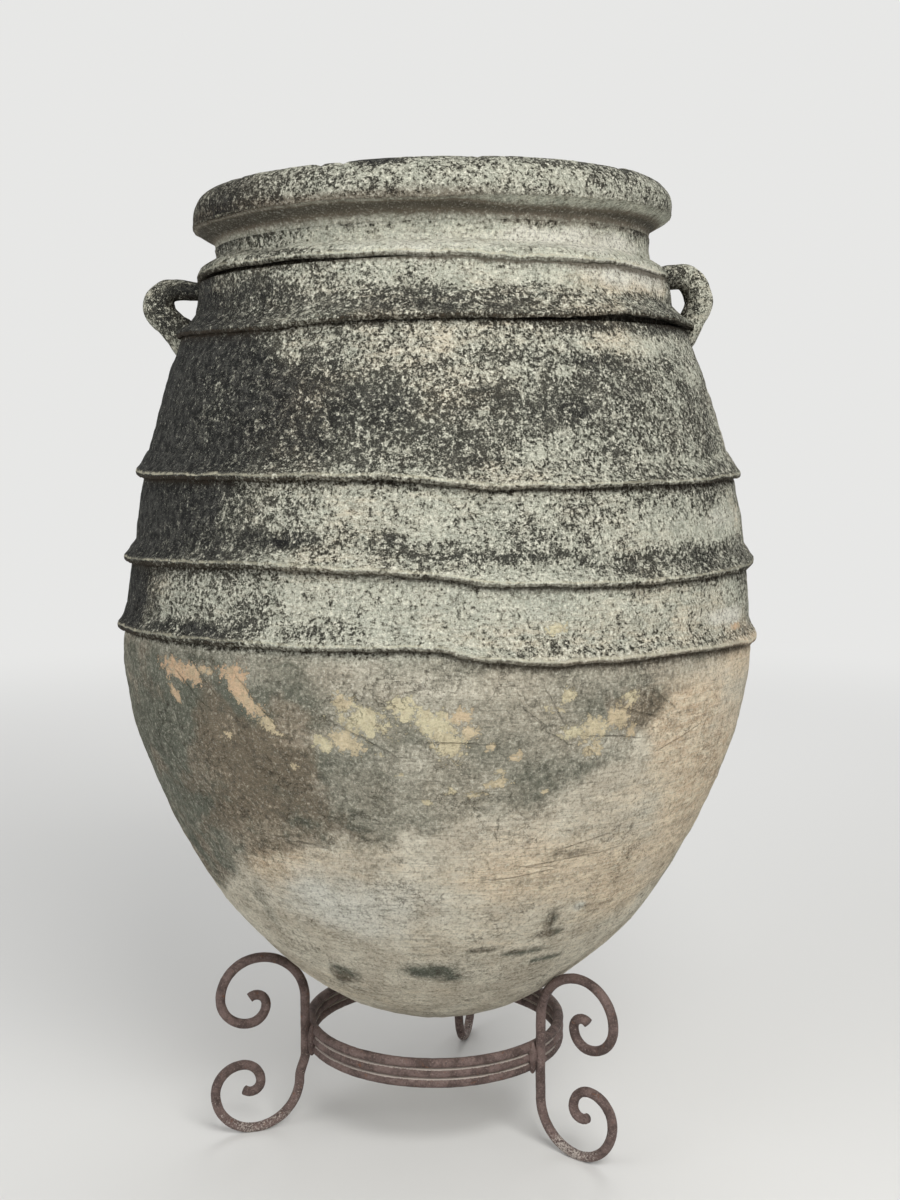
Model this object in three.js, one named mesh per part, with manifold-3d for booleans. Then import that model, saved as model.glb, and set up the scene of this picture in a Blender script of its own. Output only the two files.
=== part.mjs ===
// Large coil-built clay storage jar standing in a scrolled iron tripod.
// Millimetres, +Z up, +X to the right and +Y away as seen from the front.
// The origin is on the floor, under the jar's axis.
import * as THREE from 'three';
import { mergeVertices } from 'three/addons/utils/BufferGeometryUtils.js';
import Module from 'manifold-3d';

const wasm = await Module();
wasm.setup();

// Clearances between neighbours
const seam = 0.3;
const seatGap = 0.3;
const weldGap = 0.3;

// Jar, stacked up from the flat underside of its foot
const lowerBodyHeight = 579;
const bellyCourseHeight = 96;
const middleCourseHeight = 119;
const upperCourseHeight = 203;
const collarHeight = 77;
const neckHeight = 43;

// Jar wall
const wallThickness = 24;
const footRadius = 78;
const footThickness = 38;
const insideFloorShare = 0.96;
const footThickening = 4;
const bellyDrop = 19;
const bellyRadius = 455;
const bellyFullness = 1.33;
const shoulderRadius = 357.5;
const shoulderFullness = 1.85;
const collarStep = 12.5;
const collarTaper = 12;
const neckStep = 16;
const neckTaper = 8.5;
const neckWaistDrop = 12;

// Raised cordons, numbered down from the neck; each covers the joint of two courses
const cordonProud = 11.5;
const cordonRise = 27;
const cordonDrop = 8;
const cordonLip = 3.5;
const cordonEdge = 1.2;
const cordonFlareShare = 0.42;
const cordonFlareProud = 0.38;
const neckCordonProud = 1;
const neckCordonRise = 22;
const neckCordonDrop = 6;
const neckCordonFoot = 5;

// Rolled rim
const rimOverhang = 30.5;
const rimHalfWidth = 36;
const rimHalfHeight = 40;
const rimRoot = 1;
const rimInnerRound = 12;
const rimLandWidth = 18;

// The hand-built courses aren't level: rises over a run to the right, and falls over a run to the front
const mouthTilt = 0.031;
const shoulderTilt = 0.01;
const cordonFrontFalls = [0.02, 0, 0.01, 0.032, 0.04];
const levelHeight = 300;

// Ear handles, one each side
const rightHandleReach = 64;
const leftHandleReach = 77;
const handleThickness = 36;
const handleWidth = 50;
const handleTopDrop = 7;
const handleElbowDrop = 30;
const handleTailDrop = 12;
const handleRoot = 14;

// Stand: round bar for the legs and for the stacked rings
const barDiameter = 14;
const ringRadius = 188;
const ringStackHeight = 131;
const backLegAzimuth = 78.75;
const stemLength = 121.5;
const scrollRadius = 68;
const scrollQuarters = [1, 0.85, 0.59, 0.4, 0.22];
const scrollEndTurn = 0.7;
const footWear = 1.5;
const weldWidth = 11;
const weldSide = 9;
const weldOverlap = 5;

// Mesh fineness
const turnSteps = 42;
const lowerRows = 4;
const bowlRows = 6;
const insideRows = 8;
const courseRows = 3;
const rimRows = 7;
const barSides = 8;
const quarterSteps = 4;
const handleSides = 10;
const handleSteps = 12;
const beadSides = 8;
const beadRows = 6;
const mergeTolerance = 1e-4;
const normalStep = 1e-4;
const seatSamples = 400;
const seatHalvings = 60;

// Heights and radii that follow
const cordon5Height = lowerBodyHeight;
const cordon4Height = cordon5Height + bellyCourseHeight;
const cordon3Height = cordon4Height + middleCourseHeight;
const cordon2Height = cordon3Height + upperCourseHeight;
const cordon1Height = cordon2Height + collarHeight;
const cordonHeights = [cordon1Height, cordon2Height, cordon3Height, cordon4Height, cordon5Height];
const bellyHeight = lowerBodyHeight - bellyDrop;
const collarTopHeight = cordon1Height - neckCordonDrop;
const neckTopHeight = cordon1Height + neckHeight;
const neckWaistHeight = neckTopHeight - neckWaistDrop;
const rimMiddleHeight = neckTopHeight + rimHalfHeight - rimRoot;
const rimTopHeight = rimMiddleHeight + rimHalfHeight;

const collarFootRadius = shoulderRadius - collarStep;
const collarTopRadius = collarFootRadius - collarTaper;
const neckFootRadius = collarTopRadius - neckStep;
const neckRadius = neckFootRadius - neckTaper;
const rimCentreRadius = neckRadius + rimOverhang - rimHalfWidth;

const halfBar = barDiameter / 2;
const stemRadius = ringRadius + barDiameter + weldGap;
const lowerScrollHeight = halfBar - footWear + scrollRadius;
const upperScrollHeight = lowerScrollHeight + stemLength;

const fullTurn = 2 * Math.PI;
const quarterTurn = Math.PI / 2;
const legAngle = THREE.MathUtils.degToRad(backLegAzimuth);
const legNames = ['back', 'left', 'right'];
const ringNames = ['lower', 'middle', 'upper'];
const legTurn = fullTurn / legNames.length;

// Materials
const weatheredClay = new THREE.MeshStandardMaterial({ color: 0x77736a, roughness: 0.95, metalness: 0 });
const paleClay = new THREE.MeshStandardMaterial({ color: 0xa8a291, roughness: 0.95, metalness: 0 });
const bareClay = new THREE.MeshStandardMaterial({ color: 0xb49c82, roughness: 0.92, metalness: 0 });
const rustyIron = new THREE.MeshStandardMaterial({ color: 0x5d4a48, roughness: 0.8, metalness: 0.5 });

const jar = new THREE.Group();
const stand = new THREE.Group();

// Solids and booleans

function toSolid(geometry) {
  const bare = geometry.clone();
  bare.deleteAttribute('normal');
  bare.deleteAttribute('uv');
  const merged = mergeVertices(bare, mergeTolerance);
  return new wasm.Manifold(new wasm.Mesh({
    numProp: 3,
    vertProperties: new Float32Array(merged.attributes.position.array),
    triVerts: new Uint32Array(merged.index.array),
  }));
}

function toGeometry(solid) {
  const mesh = solid.getMesh();
  const geometry = new THREE.BufferGeometry();
  geometry.setAttribute('position', new THREE.BufferAttribute(new Float32Array(mesh.vertProperties), 3));
  geometry.setIndex(new THREE.BufferAttribute(new Uint32Array(mesh.triVerts), 1));
  geometry.computeVertexNormals();
  return geometry;
}

function addPiece(group, name, geometry, material) {
  const mesh = new THREE.Mesh(geometry, material.clone());
  mesh.name = name;
  group.add(mesh);
}

function points(...pairs) {
  return pairs.map(([radius, height]) => new THREE.Vector2(radius, height));
}

// Outline of radius and height, turned about the jar's axis; one that leaves the axis isn't closed again
function turned(outline) {
  const path = outline[0].x === 0 ? outline : [...outline, outline[0].clone()];
  const geometry = new THREE.LatheGeometry(path, turnSteps, quarterTurn + legAngle, fullTurn);
  return geometry.rotateX(quarterTurn);
}

function ovalSection(sides, halfWidth, halfDepth) {
  const section = new THREE.Shape();
  for (let i = 0; i < sides; i += 1) {
    const angle = (fullTurn * i) / sides;
    const x = halfWidth * Math.cos(angle);
    const y = halfDepth * Math.sin(angle);
    if (i === 0) section.moveTo(x, y);
    else section.lineTo(x, y);
  }
  return section;
}

// Outer radius of the jar's wall

const footAngle = Math.acos(footRadius / bellyRadius);

function bowlPoint(angle) {
  const fall = (Math.sin(angle) / Math.sin(footAngle)) ** bellyFullness;
  return new THREE.Vector2(bellyRadius * Math.cos(angle), bellyHeight * (1 - fall));
}

function bowlNormal(angle) {
  const above = bowlPoint(Math.max(angle - normalStep, 0));
  const along = above.sub(bowlPoint(angle + normalStep)).normalize();
  return new THREE.Vector2(along.y, -along.x);
}

function upperRadius(height) {
  const share = (height - bellyHeight) / (cordon2Height - bellyHeight);
  return bellyRadius - (bellyRadius - shoulderRadius) * share ** shoulderFullness;
}

function collarRadius(height) {
  const share = (height - cordon2Height) / (collarTopHeight - cordon2Height);
  return collarFootRadius - collarTaper * share;
}

function neckOuterRadius(height) {
  const share = (neckWaistHeight - height) / (neckWaistHeight - collarTopHeight);
  return neckRadius + neckTaper * share ** 2;
}

// The jar is let down until its lower body rests against the upper scrolls

const scrollCentre = new THREE.Vector2(stemRadius + scrollRadius, upperScrollHeight);

function seatContact(lift) {
  let best = { distance: Infinity, angle: 0 };
  for (let i = 0; i <= seatSamples; i += 1) {
    const angle = (footAngle * i) / seatSamples;
    const point = bowlPoint(angle);
    point.y += lift;
    const distance = point.distanceTo(scrollCentre);
    if (distance < best.distance) best = { distance, angle };
  }
  return best;
}

function findSeat() {
  const reach = scrollRadius + halfBar + seatGap;
  let low = 0;
  let high = upperScrollHeight + bellyHeight;
  for (let i = 0; i < seatHalvings; i += 1) {
    const middle = (low + high) / 2;
    if (seatContact(middle).distance < reach) low = middle;
    else high = middle;
  }
  return high;
}

const jarLift = findSeat();
const seatAngle = seatContact(jarLift).angle;

// Slopes of the courses

const sideRises = [
  [cordon3Height, 0],
  [cordon2Height, shoulderTilt],
  [cordon1Height, mouthTilt],
];
const frontFalls = [
  [rimMiddleHeight, 0],
  ...cordonHeights.map((height, i) => [height, cordonFrontFalls[i]]),
  [levelHeight, 0],
].reverse();

// Straight-line value between stations of [height, value]
function between(stations, height) {
  const last = stations.length - 1;
  if (height <= stations[0][0]) return stations[0][1];
  if (height >= stations[last][0]) return stations[last][1];
  const i = stations.findIndex(([at]) => at > height);
  const [lowHeight, lowValue] = stations[i - 1];
  const [highHeight, highValue] = stations[i];
  return lowValue + ((highValue - lowValue) * (height - lowHeight)) / (highHeight - lowHeight);
}

// The courses tip to the left and to the back, and the mouth leans left with them
function settle(geometry) {
  const position = geometry.attributes.position;
  for (let i = 0; i < position.count; i += 1) {
    const x = position.getX(i);
    const y = position.getY(i);
    const z = position.getZ(i);
    const rise = between(sideRises, z);
    position.setX(i, x - (rise * Math.max(z - cordon3Height, 0)) / 2);
    position.setZ(i, z + x * rise - y * between(frontFalls, z));
  }
}

function addJarPiece(name, geometry, material) {
  settle(geometry);
  geometry.translate(0, 0, jarLift);
  addPiece(jar, name, geometry, material);
}

// Lower body: a bowl from the flat foot to the fifth cordon

function lowerBody() {
  const outer = [];
  for (let i = 0; i <= lowerRows; i += 1) {
    outer.push(bowlPoint(footAngle + ((seatAngle - footAngle) * i) / lowerRows));
  }
  for (let i = 1; i <= bowlRows; i += 1) {
    outer.push(bowlPoint(seatAngle * (1 - i / bowlRows)));
  }
  const inner = [];
  for (let i = 0; i <= insideRows; i += 1) {
    const share = i / insideRows;
    const angle = footAngle * insideFloorShare * share;
    const depth = wallThickness + (footThickness - wallThickness) * share ** footThickening;
    inner.push(bowlPoint(angle).addScaledVector(bowlNormal(angle), -depth));
  }
  const topRadius = upperRadius(cordon5Height);
  return turned([
    ...points([0, 0]),
    ...outer,
    ...points([topRadius, cordon5Height], [topRadius - wallThickness, cordon5Height]),
    ...inner,
    ...points([0, inner[insideRows].y]),
  ]);
}

// Wall courses, each between two joints

function course(bottom, top, innerTopRadius = upperRadius(top) - wallThickness) {
  const outer = [];
  const inner = [];
  for (let i = 0; i <= courseRows; i += 1) {
    const height = bottom + seam + ((top - bottom - seam) * i) / courseRows;
    const radius = upperRadius(height);
    outer.push(new THREE.Vector2(radius, height));
    if (i < courseRows) inner.unshift(new THREE.Vector2(radius - wallThickness, height));
  }
  return turned([...outer, new THREE.Vector2(innerTopRadius, top), ...inner]);
}

function collarCourse() {
  const bottom = cordon2Height + seam;
  return turned(points(
    [collarFootRadius, bottom],
    [collarTopRadius, collarTopHeight],
    [neckFootRadius - wallThickness, collarTopHeight],
    [collarFootRadius - wallThickness, bottom],
  ));
}

function neck() {
  const bottom = collarTopHeight + seam;
  const heights = [bottom, cordon1Height, cordon1Height + neckCordonRise, neckTopHeight];
  return turned(points(
    ...heights.map((height) => [neckOuterRadius(height), height]),
    [neckRadius - wallThickness, neckTopHeight],
    [neckFootRadius - wallThickness, bottom],
  ));
}

// Rolled rim with a flat land on top

function rim() {
  const bottom = neckTopHeight + seam;
  const start = Math.asin((bottom - rimMiddleHeight) / rimHalfHeight);
  const end = Math.acos(rimLandWidth / 2 / rimHalfWidth);
  const outer = [];
  for (let i = 0; i < rimRows; i += 1) {
    const angle = start + ((end - start) * i) / rimRows;
    const radius = rimCentreRadius + rimHalfWidth * Math.cos(angle);
    outer.push(new THREE.Vector2(radius, rimMiddleHeight + rimHalfHeight * Math.sin(angle)));
  }
  const inside = neckRadius - wallThickness;
  return turned([
    ...outer,
    ...points(
      [rimCentreRadius + rimLandWidth / 2, rimTopHeight],
      [rimCentreRadius - rimLandWidth / 2, rimTopHeight],
      [inside, rimTopHeight - rimInnerRound],
      [inside, bottom],
    ),
  ]);
}

// Cordons: a feathered top, a round lip and a sharp undercut. A front can be grown to cut neighbours clear.

function cordonNose(wall, height, rise, tip) {
  const flare = height + rise * cordonFlareShare;
  return points(
    [tip - cordonLip / 2, height - cordonLip],
    [tip, height],
    [tip - cordonLip / 2, height + cordonLip],
    [wall(flare) + (tip - wall(flare)) * cordonFlareProud, flare],
  );
}

function cordonFront(height, wall, grow = 0) {
  const low = height - cordonDrop;
  const top = height + cordonRise;
  const tip = upperRadius(height) + cordonProud + grow;
  return [
    ...points([upperRadius(low) + seam + grow, low]),
    ...cordonNose(wall, height, cordonRise, tip),
    ...points([wall(top) + seam + cordonEdge + grow, top]),
  ];
}

function cordon(height) {
  return turned([
    ...cordonFront(height, upperRadius),
    ...points(
      [upperRadius(height + cordonRise) + seam, height + cordonRise],
      [upperRadius(height) + seam, height],
    ),
  ]);
}

// The second cordon also fills the step from the upper course in to the collar
function stepCordon() {
  return turned([
    ...cordonFront(cordon2Height, collarRadius),
    ...points(
      [collarRadius(cordon2Height + cordonRise) + seam, cordon2Height + cordonRise],
      [collarFootRadius + seam, cordon2Height + seam],
      [shoulderRadius + seam, cordon2Height + seam],
    ),
  ]);
}

function neckCordonFront(grow = 0) {
  const top = cordon1Height + neckCordonRise;
  const tip = collarTopRadius + neckCordonProud + grow;
  return [
    ...points([neckFootRadius + neckCordonFoot + grow, collarTopHeight + seam]),
    ...cordonNose(neckOuterRadius, cordon1Height, neckCordonRise, tip),
    ...points([neckOuterRadius(top) + seam + cordonEdge + grow, top]),
  ];
}

function neckCordon() {
  const heights = [cordon1Height + neckCordonRise, cordon1Height, collarTopHeight + seam];
  return turned([
    ...neckCordonFront(),
    ...points(...heights.map((height) => [neckOuterRadius(height) + seam, height])),
  ]);
}

// Everything that a handle lies against, filled to the axis and grown by the seam

function handleBed() {
  const grow = 2 * seam;
  const middle = (cordon3Height + cordon2Height) / 2;
  return toSolid(turned([
    ...points(
      [0, cordon3Height],
      [upperRadius(cordon3Height) + grow, cordon3Height],
      [upperRadius(middle) + grow, middle],
    ),
    ...cordonFront(cordon2Height, collarRadius, grow),
    ...points([collarTopRadius + grow, collarTopHeight + seam]),
    ...neckCordonFront(grow),
    ...points([neckRadius, neckTopHeight], [0, neckTopHeight]),
  ]));
}

// Ear handles: a thick strap that leaves the wall under the first cordon and returns below the second

function handleCurve(side, reach) {
  const top = cordon1Height - handleTopDrop;
  const elbow = top - handleElbowDrop;
  const tail = cordon2Height - handleTailDrop;
  const outer = collarTopRadius + reach - handleThickness / 2;
  const path = [
    [collarTopRadius - handleRoot, top],
    [outer - handleThickness / 2, top],
    [outer, elbow],
    [(outer + upperRadius(tail)) / 2, (elbow + tail) / 2],
    [upperRadius(tail) - handleRoot, tail],
  ];
  return new THREE.CatmullRomCurve3(
    path.map(([radius, height]) => new THREE.Vector3(side * radius, 0, height)),
  );
}

function handle(side, reach, bed) {
  const strap = new THREE.ExtrudeGeometry(ovalSection(handleSides, handleWidth / 2, handleThickness / 2), {
    steps: handleSteps,
    bevelEnabled: false,
    extrudePath: handleCurve(side, reach),
  });
  return toGeometry(toSolid(strap).subtract(bed));
}

// Centre line of a leg, through given stations with even parameter steps
class LegCurve extends THREE.Curve {
  constructor(stations) {
    super();
    this.stations = stations;
  }

  getPoint(t) {
    const place = Math.min(Math.max(t, 0), 1) * (this.stations.length - 1);
    const i = Math.min(Math.floor(place), this.stations.length - 2);
    return this.stations[i].clone().lerp(this.stations[i + 1], place - i);
  }

  getPointAt(u) {
    return this.getPoint(u);
  }

  getTangentAt(u) {
    const halfStep = 1 / (this.stations.length - 1) / 2;
    return this.getPoint(u + halfStep).sub(this.getPoint(u - halfStep)).normalize();
  }
}

// Quarter arcs of falling radius, from the stem outwards; the last one turns a little further
function scrollStations(startHeight, sign) {
  const stations = [];
  let centreX = stemRadius;
  let centreZ = startHeight;
  let inset = 0;
  scrollQuarters.forEach((size, i) => {
    const radius = scrollRadius * size;
    const start = Math.PI - i * quarterTurn;
    centreX += (inset - radius) * Math.cos(start);
    centreZ += sign * (inset - radius) * Math.sin(start);
    inset = radius;
    const turn = i === scrollQuarters.length - 1 ? quarterTurn + scrollEndTurn : quarterTurn;
    for (let k = i === 0 ? 0 : 1; k <= quarterSteps; k += 1) {
      const angle = start - (turn * k) / quarterSteps;
      stations.push(new THREE.Vector3(
        centreX + radius * Math.cos(angle),
        0,
        centreZ + sign * radius * Math.sin(angle),
      ));
    }
  });
  return stations;
}

function legBar(index, radius) {
  const lower = scrollStations(lowerScrollHeight, -1).reverse();
  const upper = scrollStations(upperScrollHeight, 1);
  const curve = new LegCurve([...lower, ...upper]);
  const geometry = new THREE.ExtrudeGeometry(ovalSection(barSides, radius, radius), {
    steps: curve.stations.length - 1,
    bevelEnabled: false,
    extrudePath: curve,
  });
  return geometry.rotateZ(legAngle + index * legTurn);
}

// The worn foot is cut flat at the floor
function leg(index) {
  const span = 2 * (stemRadius + 2 * scrollRadius + barDiameter);
  const floor = new THREE.BoxGeometry(span, span, barDiameter).translate(0, 0, -halfBar);
  return toGeometry(toSolid(legBar(index, halfBar)).subtract(toSolid(floor)));
}

function ringBar(index, radius) {
  const height = ringStackHeight + (index - (ringNames.length - 1) / 2) * (barDiameter + seam);
  const geometry = new THREE.TorusGeometry(ringRadius, radius, barSides, turnSteps);
  return geometry.rotateZ(legAngle).translate(0, 0, height);
}

// Weld beads fill the grooves between a stem and the rings
function weld(index, side) {
  const height = ringNames.length * barDiameter + weldOverlap;
  const bead = new THREE.SphereGeometry(1, beadSides, beadRows)
    .rotateX(quarterTurn)
    .scale(weldWidth / 2, weldWidth / 2, height / 2)
    .translate(ringRadius + halfBar + weldGap, side * weldSide, ringStackHeight)
    .rotateZ(legAngle + index * legTurn);
  let solid = toSolid(bead).subtract(toSolid(legBar(index, halfBar + weldGap)));
  ringNames.forEach((name, ring) => {
    solid = solid.subtract(toSolid(ringBar(ring, halfBar + weldGap)));
  });
  return toGeometry(solid);
}

// Assembly of the jar

const bed = handleBed();
const collarInsideFoot = collarFootRadius - wallThickness;
addJarPiece('lower_body', lowerBody(), bareClay);
addJarPiece('belly_course', course(cordon5Height, cordon4Height), paleClay);
addJarPiece('middle_course', course(cordon4Height, cordon3Height), weatheredClay);
addJarPiece('upper_course', course(cordon3Height, cordon2Height, collarInsideFoot), weatheredClay);
addJarPiece('collar_course', collarCourse(), weatheredClay);
addJarPiece('neck', neck(), paleClay);
addJarPiece('rim', rim(), weatheredClay);
addJarPiece('cordon_1', neckCordon(), paleClay);
addJarPiece('cordon_2', stepCordon(), weatheredClay);
addJarPiece('cordon_3', cordon(cordon3Height), weatheredClay);
addJarPiece('cordon_4', cordon(cordon4Height), weatheredClay);
addJarPiece('cordon_5', cordon(cordon5Height), weatheredClay);
addJarPiece('handle_right', handle(1, rightHandleReach, bed), weatheredClay);
addJarPiece('handle_left', handle(-1, leftHandleReach, bed), weatheredClay);

// Assembly of the stand

legNames.forEach((name, i) => {
  addPiece(stand, `leg_${name}`, leg(i), rustyIron);
  addPiece(stand, `weld_${name}_a`, weld(i, 1), rustyIron);
  addPiece(stand, `weld_${name}_b`, weld(i, -1), rustyIron);
});
ringNames.forEach((name, i) => {
  addPiece(stand, `ring_${name}`, ringBar(i, halfBar), rustyIron);
});

const group = new THREE.Group();
group.add(stand, jar);

export default group;
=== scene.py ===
import math

import bpy
import numpy as np
from mathutils import Matrix, Vector


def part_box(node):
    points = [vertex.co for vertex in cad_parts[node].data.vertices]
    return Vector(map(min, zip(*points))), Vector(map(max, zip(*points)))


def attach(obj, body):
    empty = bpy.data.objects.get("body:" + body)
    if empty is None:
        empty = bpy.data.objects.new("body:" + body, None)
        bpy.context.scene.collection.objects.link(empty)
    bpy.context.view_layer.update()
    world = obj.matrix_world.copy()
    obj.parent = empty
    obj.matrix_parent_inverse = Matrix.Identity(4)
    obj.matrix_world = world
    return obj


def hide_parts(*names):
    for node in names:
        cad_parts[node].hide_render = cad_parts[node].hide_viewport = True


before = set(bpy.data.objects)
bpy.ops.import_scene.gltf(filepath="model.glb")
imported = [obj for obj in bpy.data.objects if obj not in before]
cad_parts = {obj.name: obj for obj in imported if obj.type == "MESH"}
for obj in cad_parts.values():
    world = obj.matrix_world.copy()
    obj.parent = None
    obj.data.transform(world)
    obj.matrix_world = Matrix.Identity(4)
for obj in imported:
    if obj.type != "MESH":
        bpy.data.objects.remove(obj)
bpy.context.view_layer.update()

# Jar, in metres. Heights are measured up from the flat underside of its foot.
# Azimuths are in degrees, 0 at the front and growing to the right.
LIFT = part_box("lower_body")[0].z
CORDON_HEIGHTS = {1: 1.074, 2: 0.997, 3: 0.794, 4: 0.675, 5: 0.579}
BELLY_HEIGHT = 0.560
BELLY_RADIUS = 0.455
BELLY_FULLNESS = 1.33
FOOT_RADIUS = 0.078
SHOULDER_RADIUS = 0.3575
SHOULDER_FULLNESS = 1.85
COLLAR_FOOT_RADIUS = 0.345
COLLAR_TOP_RADIUS = 0.333
COLLAR_TOP = 1.068
NECK_FOOT_RADIUS = 0.317
NECK_RADIUS = 0.3085
NECK_WAIST = 1.105
NECK_TOP = 1.117
RIM_CENTRE_RADIUS = 0.303
RIM_HALF_WIDTH = 0.037
RIM_MIDDLE = 1.156
RIM_TOP = 1.196
RIM_HALF_HEIGHT = RIM_TOP - RIM_MIDDLE
RIM_CREASE = 1.145
WALL = 0.024
FLOOR_THICKNESS = 0.038
INNERMOST_RADIUS = 0.004
SEAM = 0.0005
JOINT_ABOVE_CORDON = 0.006
CRUST_FOOT = 0.578

# Slopes of the uneven courses, as rise over run
SIDE_RISES = [(0.794, 0.0), (0.997, 0.01), (1.074, 0.031)]
FRONT_FALLS = [
    (0.3, 0.0), (0.579, 0.04), (0.675, 0.032), (0.794, 0.01), (0.997, 0.0), (1.074, 0.02), (1.156, 0.0),
]

# Departures of the hand-built bowl from its turned shape, in metres: drift to the right, and fullness
SIDE_DRIFT = [(0.09, 0), (0.13, 0.003), (0.3, 0.002), (0.53, 0.003), (0.70, 0.006), (0.79, 0.005), (0.95, 0)]
FULLNESS = [
    (0.09, 0), (0.135, 0.004), (0.185, 0.006), (0.23, 0.006), (0.33, 0.0045), (0.44, 0.005), (0.53, 0.0015),
    (0.579, -0.0035), (0.64, -0.0045), (0.70, -0.0045), (0.79, -0.0015), (0.95, 0),
]

# Cordons
CORDON_PROUD = 0.0115
CORDON_RISE = 0.027
CORDON_DROP = 0.008
NECK_CORDON_RADIUS = 0.3365
NECK_CORDON_RISE = 0.022
NECK_CORDON_DROP = 0.006
NECK_CORDON_FLARE = 0.005
CORDON_BACK = 0.012
# How far off a cordon's base the wall's radius is read
HAIR = 1e-4

# How pale each cordon's lip is painted: a painted highlight, with some wear
LIP_HIGHLIGHT_AND_WEAR = {1: 0.8, 2: 0.4, 3: 0.9, 4: 0.85, 5: 0.85}

# How each cordon wanders up and down across the front: azimuth, rise in millimetres
CORDON_WANDER = {
    1: [(-60, 6), (-20, 2), (0, 0), (20, -7), (45, -8), (65, -12)],
    2: [(-60, -2), (-36, -4), (-17, 6), (2, 8), (18, 6), (42, 12), (70, 6)],
    3: [(-70, 4), (-40, 6), (-11, 11), (1, 6), (8, -1), (25, -1), (59, 2), (78, 6)],
    4: [(-68, 3), (-34, 12), (-11, 8), (1, 3), (8, -8), (25, -10), (38, -10), (58, -4), (78, 0)],
    5: [(-78, 4), (-51, 6), (-9, 8), (-3, 12), (1, 9), (5, -1), (16, -11), (33, -8), (49, -6), (70, -12)],
}

# Handles
HANDLE_REACH = {"right": 0.064, "left": 0.084}
HANDLE_THICKNESS = 0.036
HANDLE_WIDTH = 0.050
HANDLE_TOP_DROP = 0.007
HANDLE_ELBOW_DROP = 0.030
HANDLE_TAIL_DROP = {"right": 0.014, "left": 0.022}
HANDLE_TOP_SLOPE = {"right": 0.006, "left": 0.012}
HANDLE_FILL = {"right": -0.0022, "left": 0.0040}
HANDLE_FILLET = {"right": 0.0, "left": 0.0050}
HANDLE_ROOT = 0.016
HANDLE_STEPS = 60
HANDLE_SIDES = 40

# Stand
BAR_RADIUS = 0.007
RING_RADIUS = 0.188
RING_PITCH = 0.0143
RING_STACK_HEIGHT = 0.131
STEM_RADIUS = 0.2023
BACK_LEG_AZIMUTH = 78.75
SCROLL_RADIUS = 0.068
SCROLL_QUARTERS = [1, 0.85, 0.59, 0.4, 0.22]
SCROLL_END_TURN = 0.7
LOWER_SCROLL_HEIGHT = 0.0735
UPPER_SCROLL_HEIGHT = 0.195
WELD_SIDE = 0.009
WELD_RADIUS = 0.0058
LEG_SPLAY = {"back": 0.0, "left": 0.009, "right": 0.001}

# Mesh fineness
TURN_STEPS = 640
ROW_STEP = 0.005
INNER_STEP = 0.04
BAR_SIDES = 18
RING_STEPS = 320
STEM_STEPS = 32
SCROLL_STEP = 0.004

# Camera of the photograph
CAMERA_PLACE = (0.0, -2.3115, 1.0492)
CAMERA_HEADING = 0.515
CAMERA_TILT = 6.706
CAMERA_ROLL = 0.2046
CAMERA_LENS = 47.367


# Noise

def lattice(ix, iy, iz, seed):
    """Repeatable random numbers from 0 to 1 at whole-number places."""
    n = (ix * 374761393 + iy * 668265263 + iz * 974634777 + seed * 1274126177) & 0xFFFFFFFF
    n = ((n ^ (n >> 13)) * 1103515245) & 0xFFFFFFFF
    n = ((n ^ (n >> 15)) * 1103515245) & 0xFFFFFFFF
    return ((n ^ (n >> 16)) & 0xFFFF) / 65535.0


def noise(points, size, seed):
    """Smooth noise from -1 to 1 with lumps of the given size, one number or one for each axis."""
    q = points / np.asarray(size, float)
    low = np.floor(q).astype(np.int64)
    f = q - low
    f = f * f * (3 - 2 * f)
    total = np.zeros(len(points))
    for corner in np.ndindex(2, 2, 2):
        weight = np.ones(len(points))
        for axis in range(3):
            weight *= f[:, axis] if corner[axis] else 1 - f[:, axis]
        total += weight * lattice(*(low[:, axis] + corner[axis] for axis in range(3)), seed)
    return 2 * total - 1


def layered(points, size, octaves, seed):
    total = np.zeros(len(points))
    weight = 0.0
    for k in range(octaves):
        share = 0.55 ** k
        total += share * noise(points, np.asarray(size, float) / 2 ** k, seed + k)
        weight += share
    return total / weight


def smooth(low, high, value):
    t = np.clip((value - low) / (high - low), 0, 1)
    return t * t * (3 - 2 * t)


def around(stations, azimuth):
    """Smooth value at each azimuth from stations of (azimuth, value), closed round the back."""
    at = np.array([a for a, _ in stations], float)
    values = np.array([v for _, v in stations], float)
    at = np.concatenate([at - 360, at, at + 360])
    values = np.tile(values, 3)
    fine = np.arange(-200.0, 201.0, 1.0)
    line = np.interp(fine, at, values)
    kernel = np.hanning(11)
    soft = np.convolve(np.pad(line, 5, mode="edge"), kernel / kernel.sum(), mode="valid")
    return np.interp((azimuth + 180) % 360 - 180, fine, soft)


# Jar outline and slopes

FOOT_SINE = math.sqrt(1 - (FOOT_RADIUS / BELLY_RADIUS) ** 2)


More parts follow.
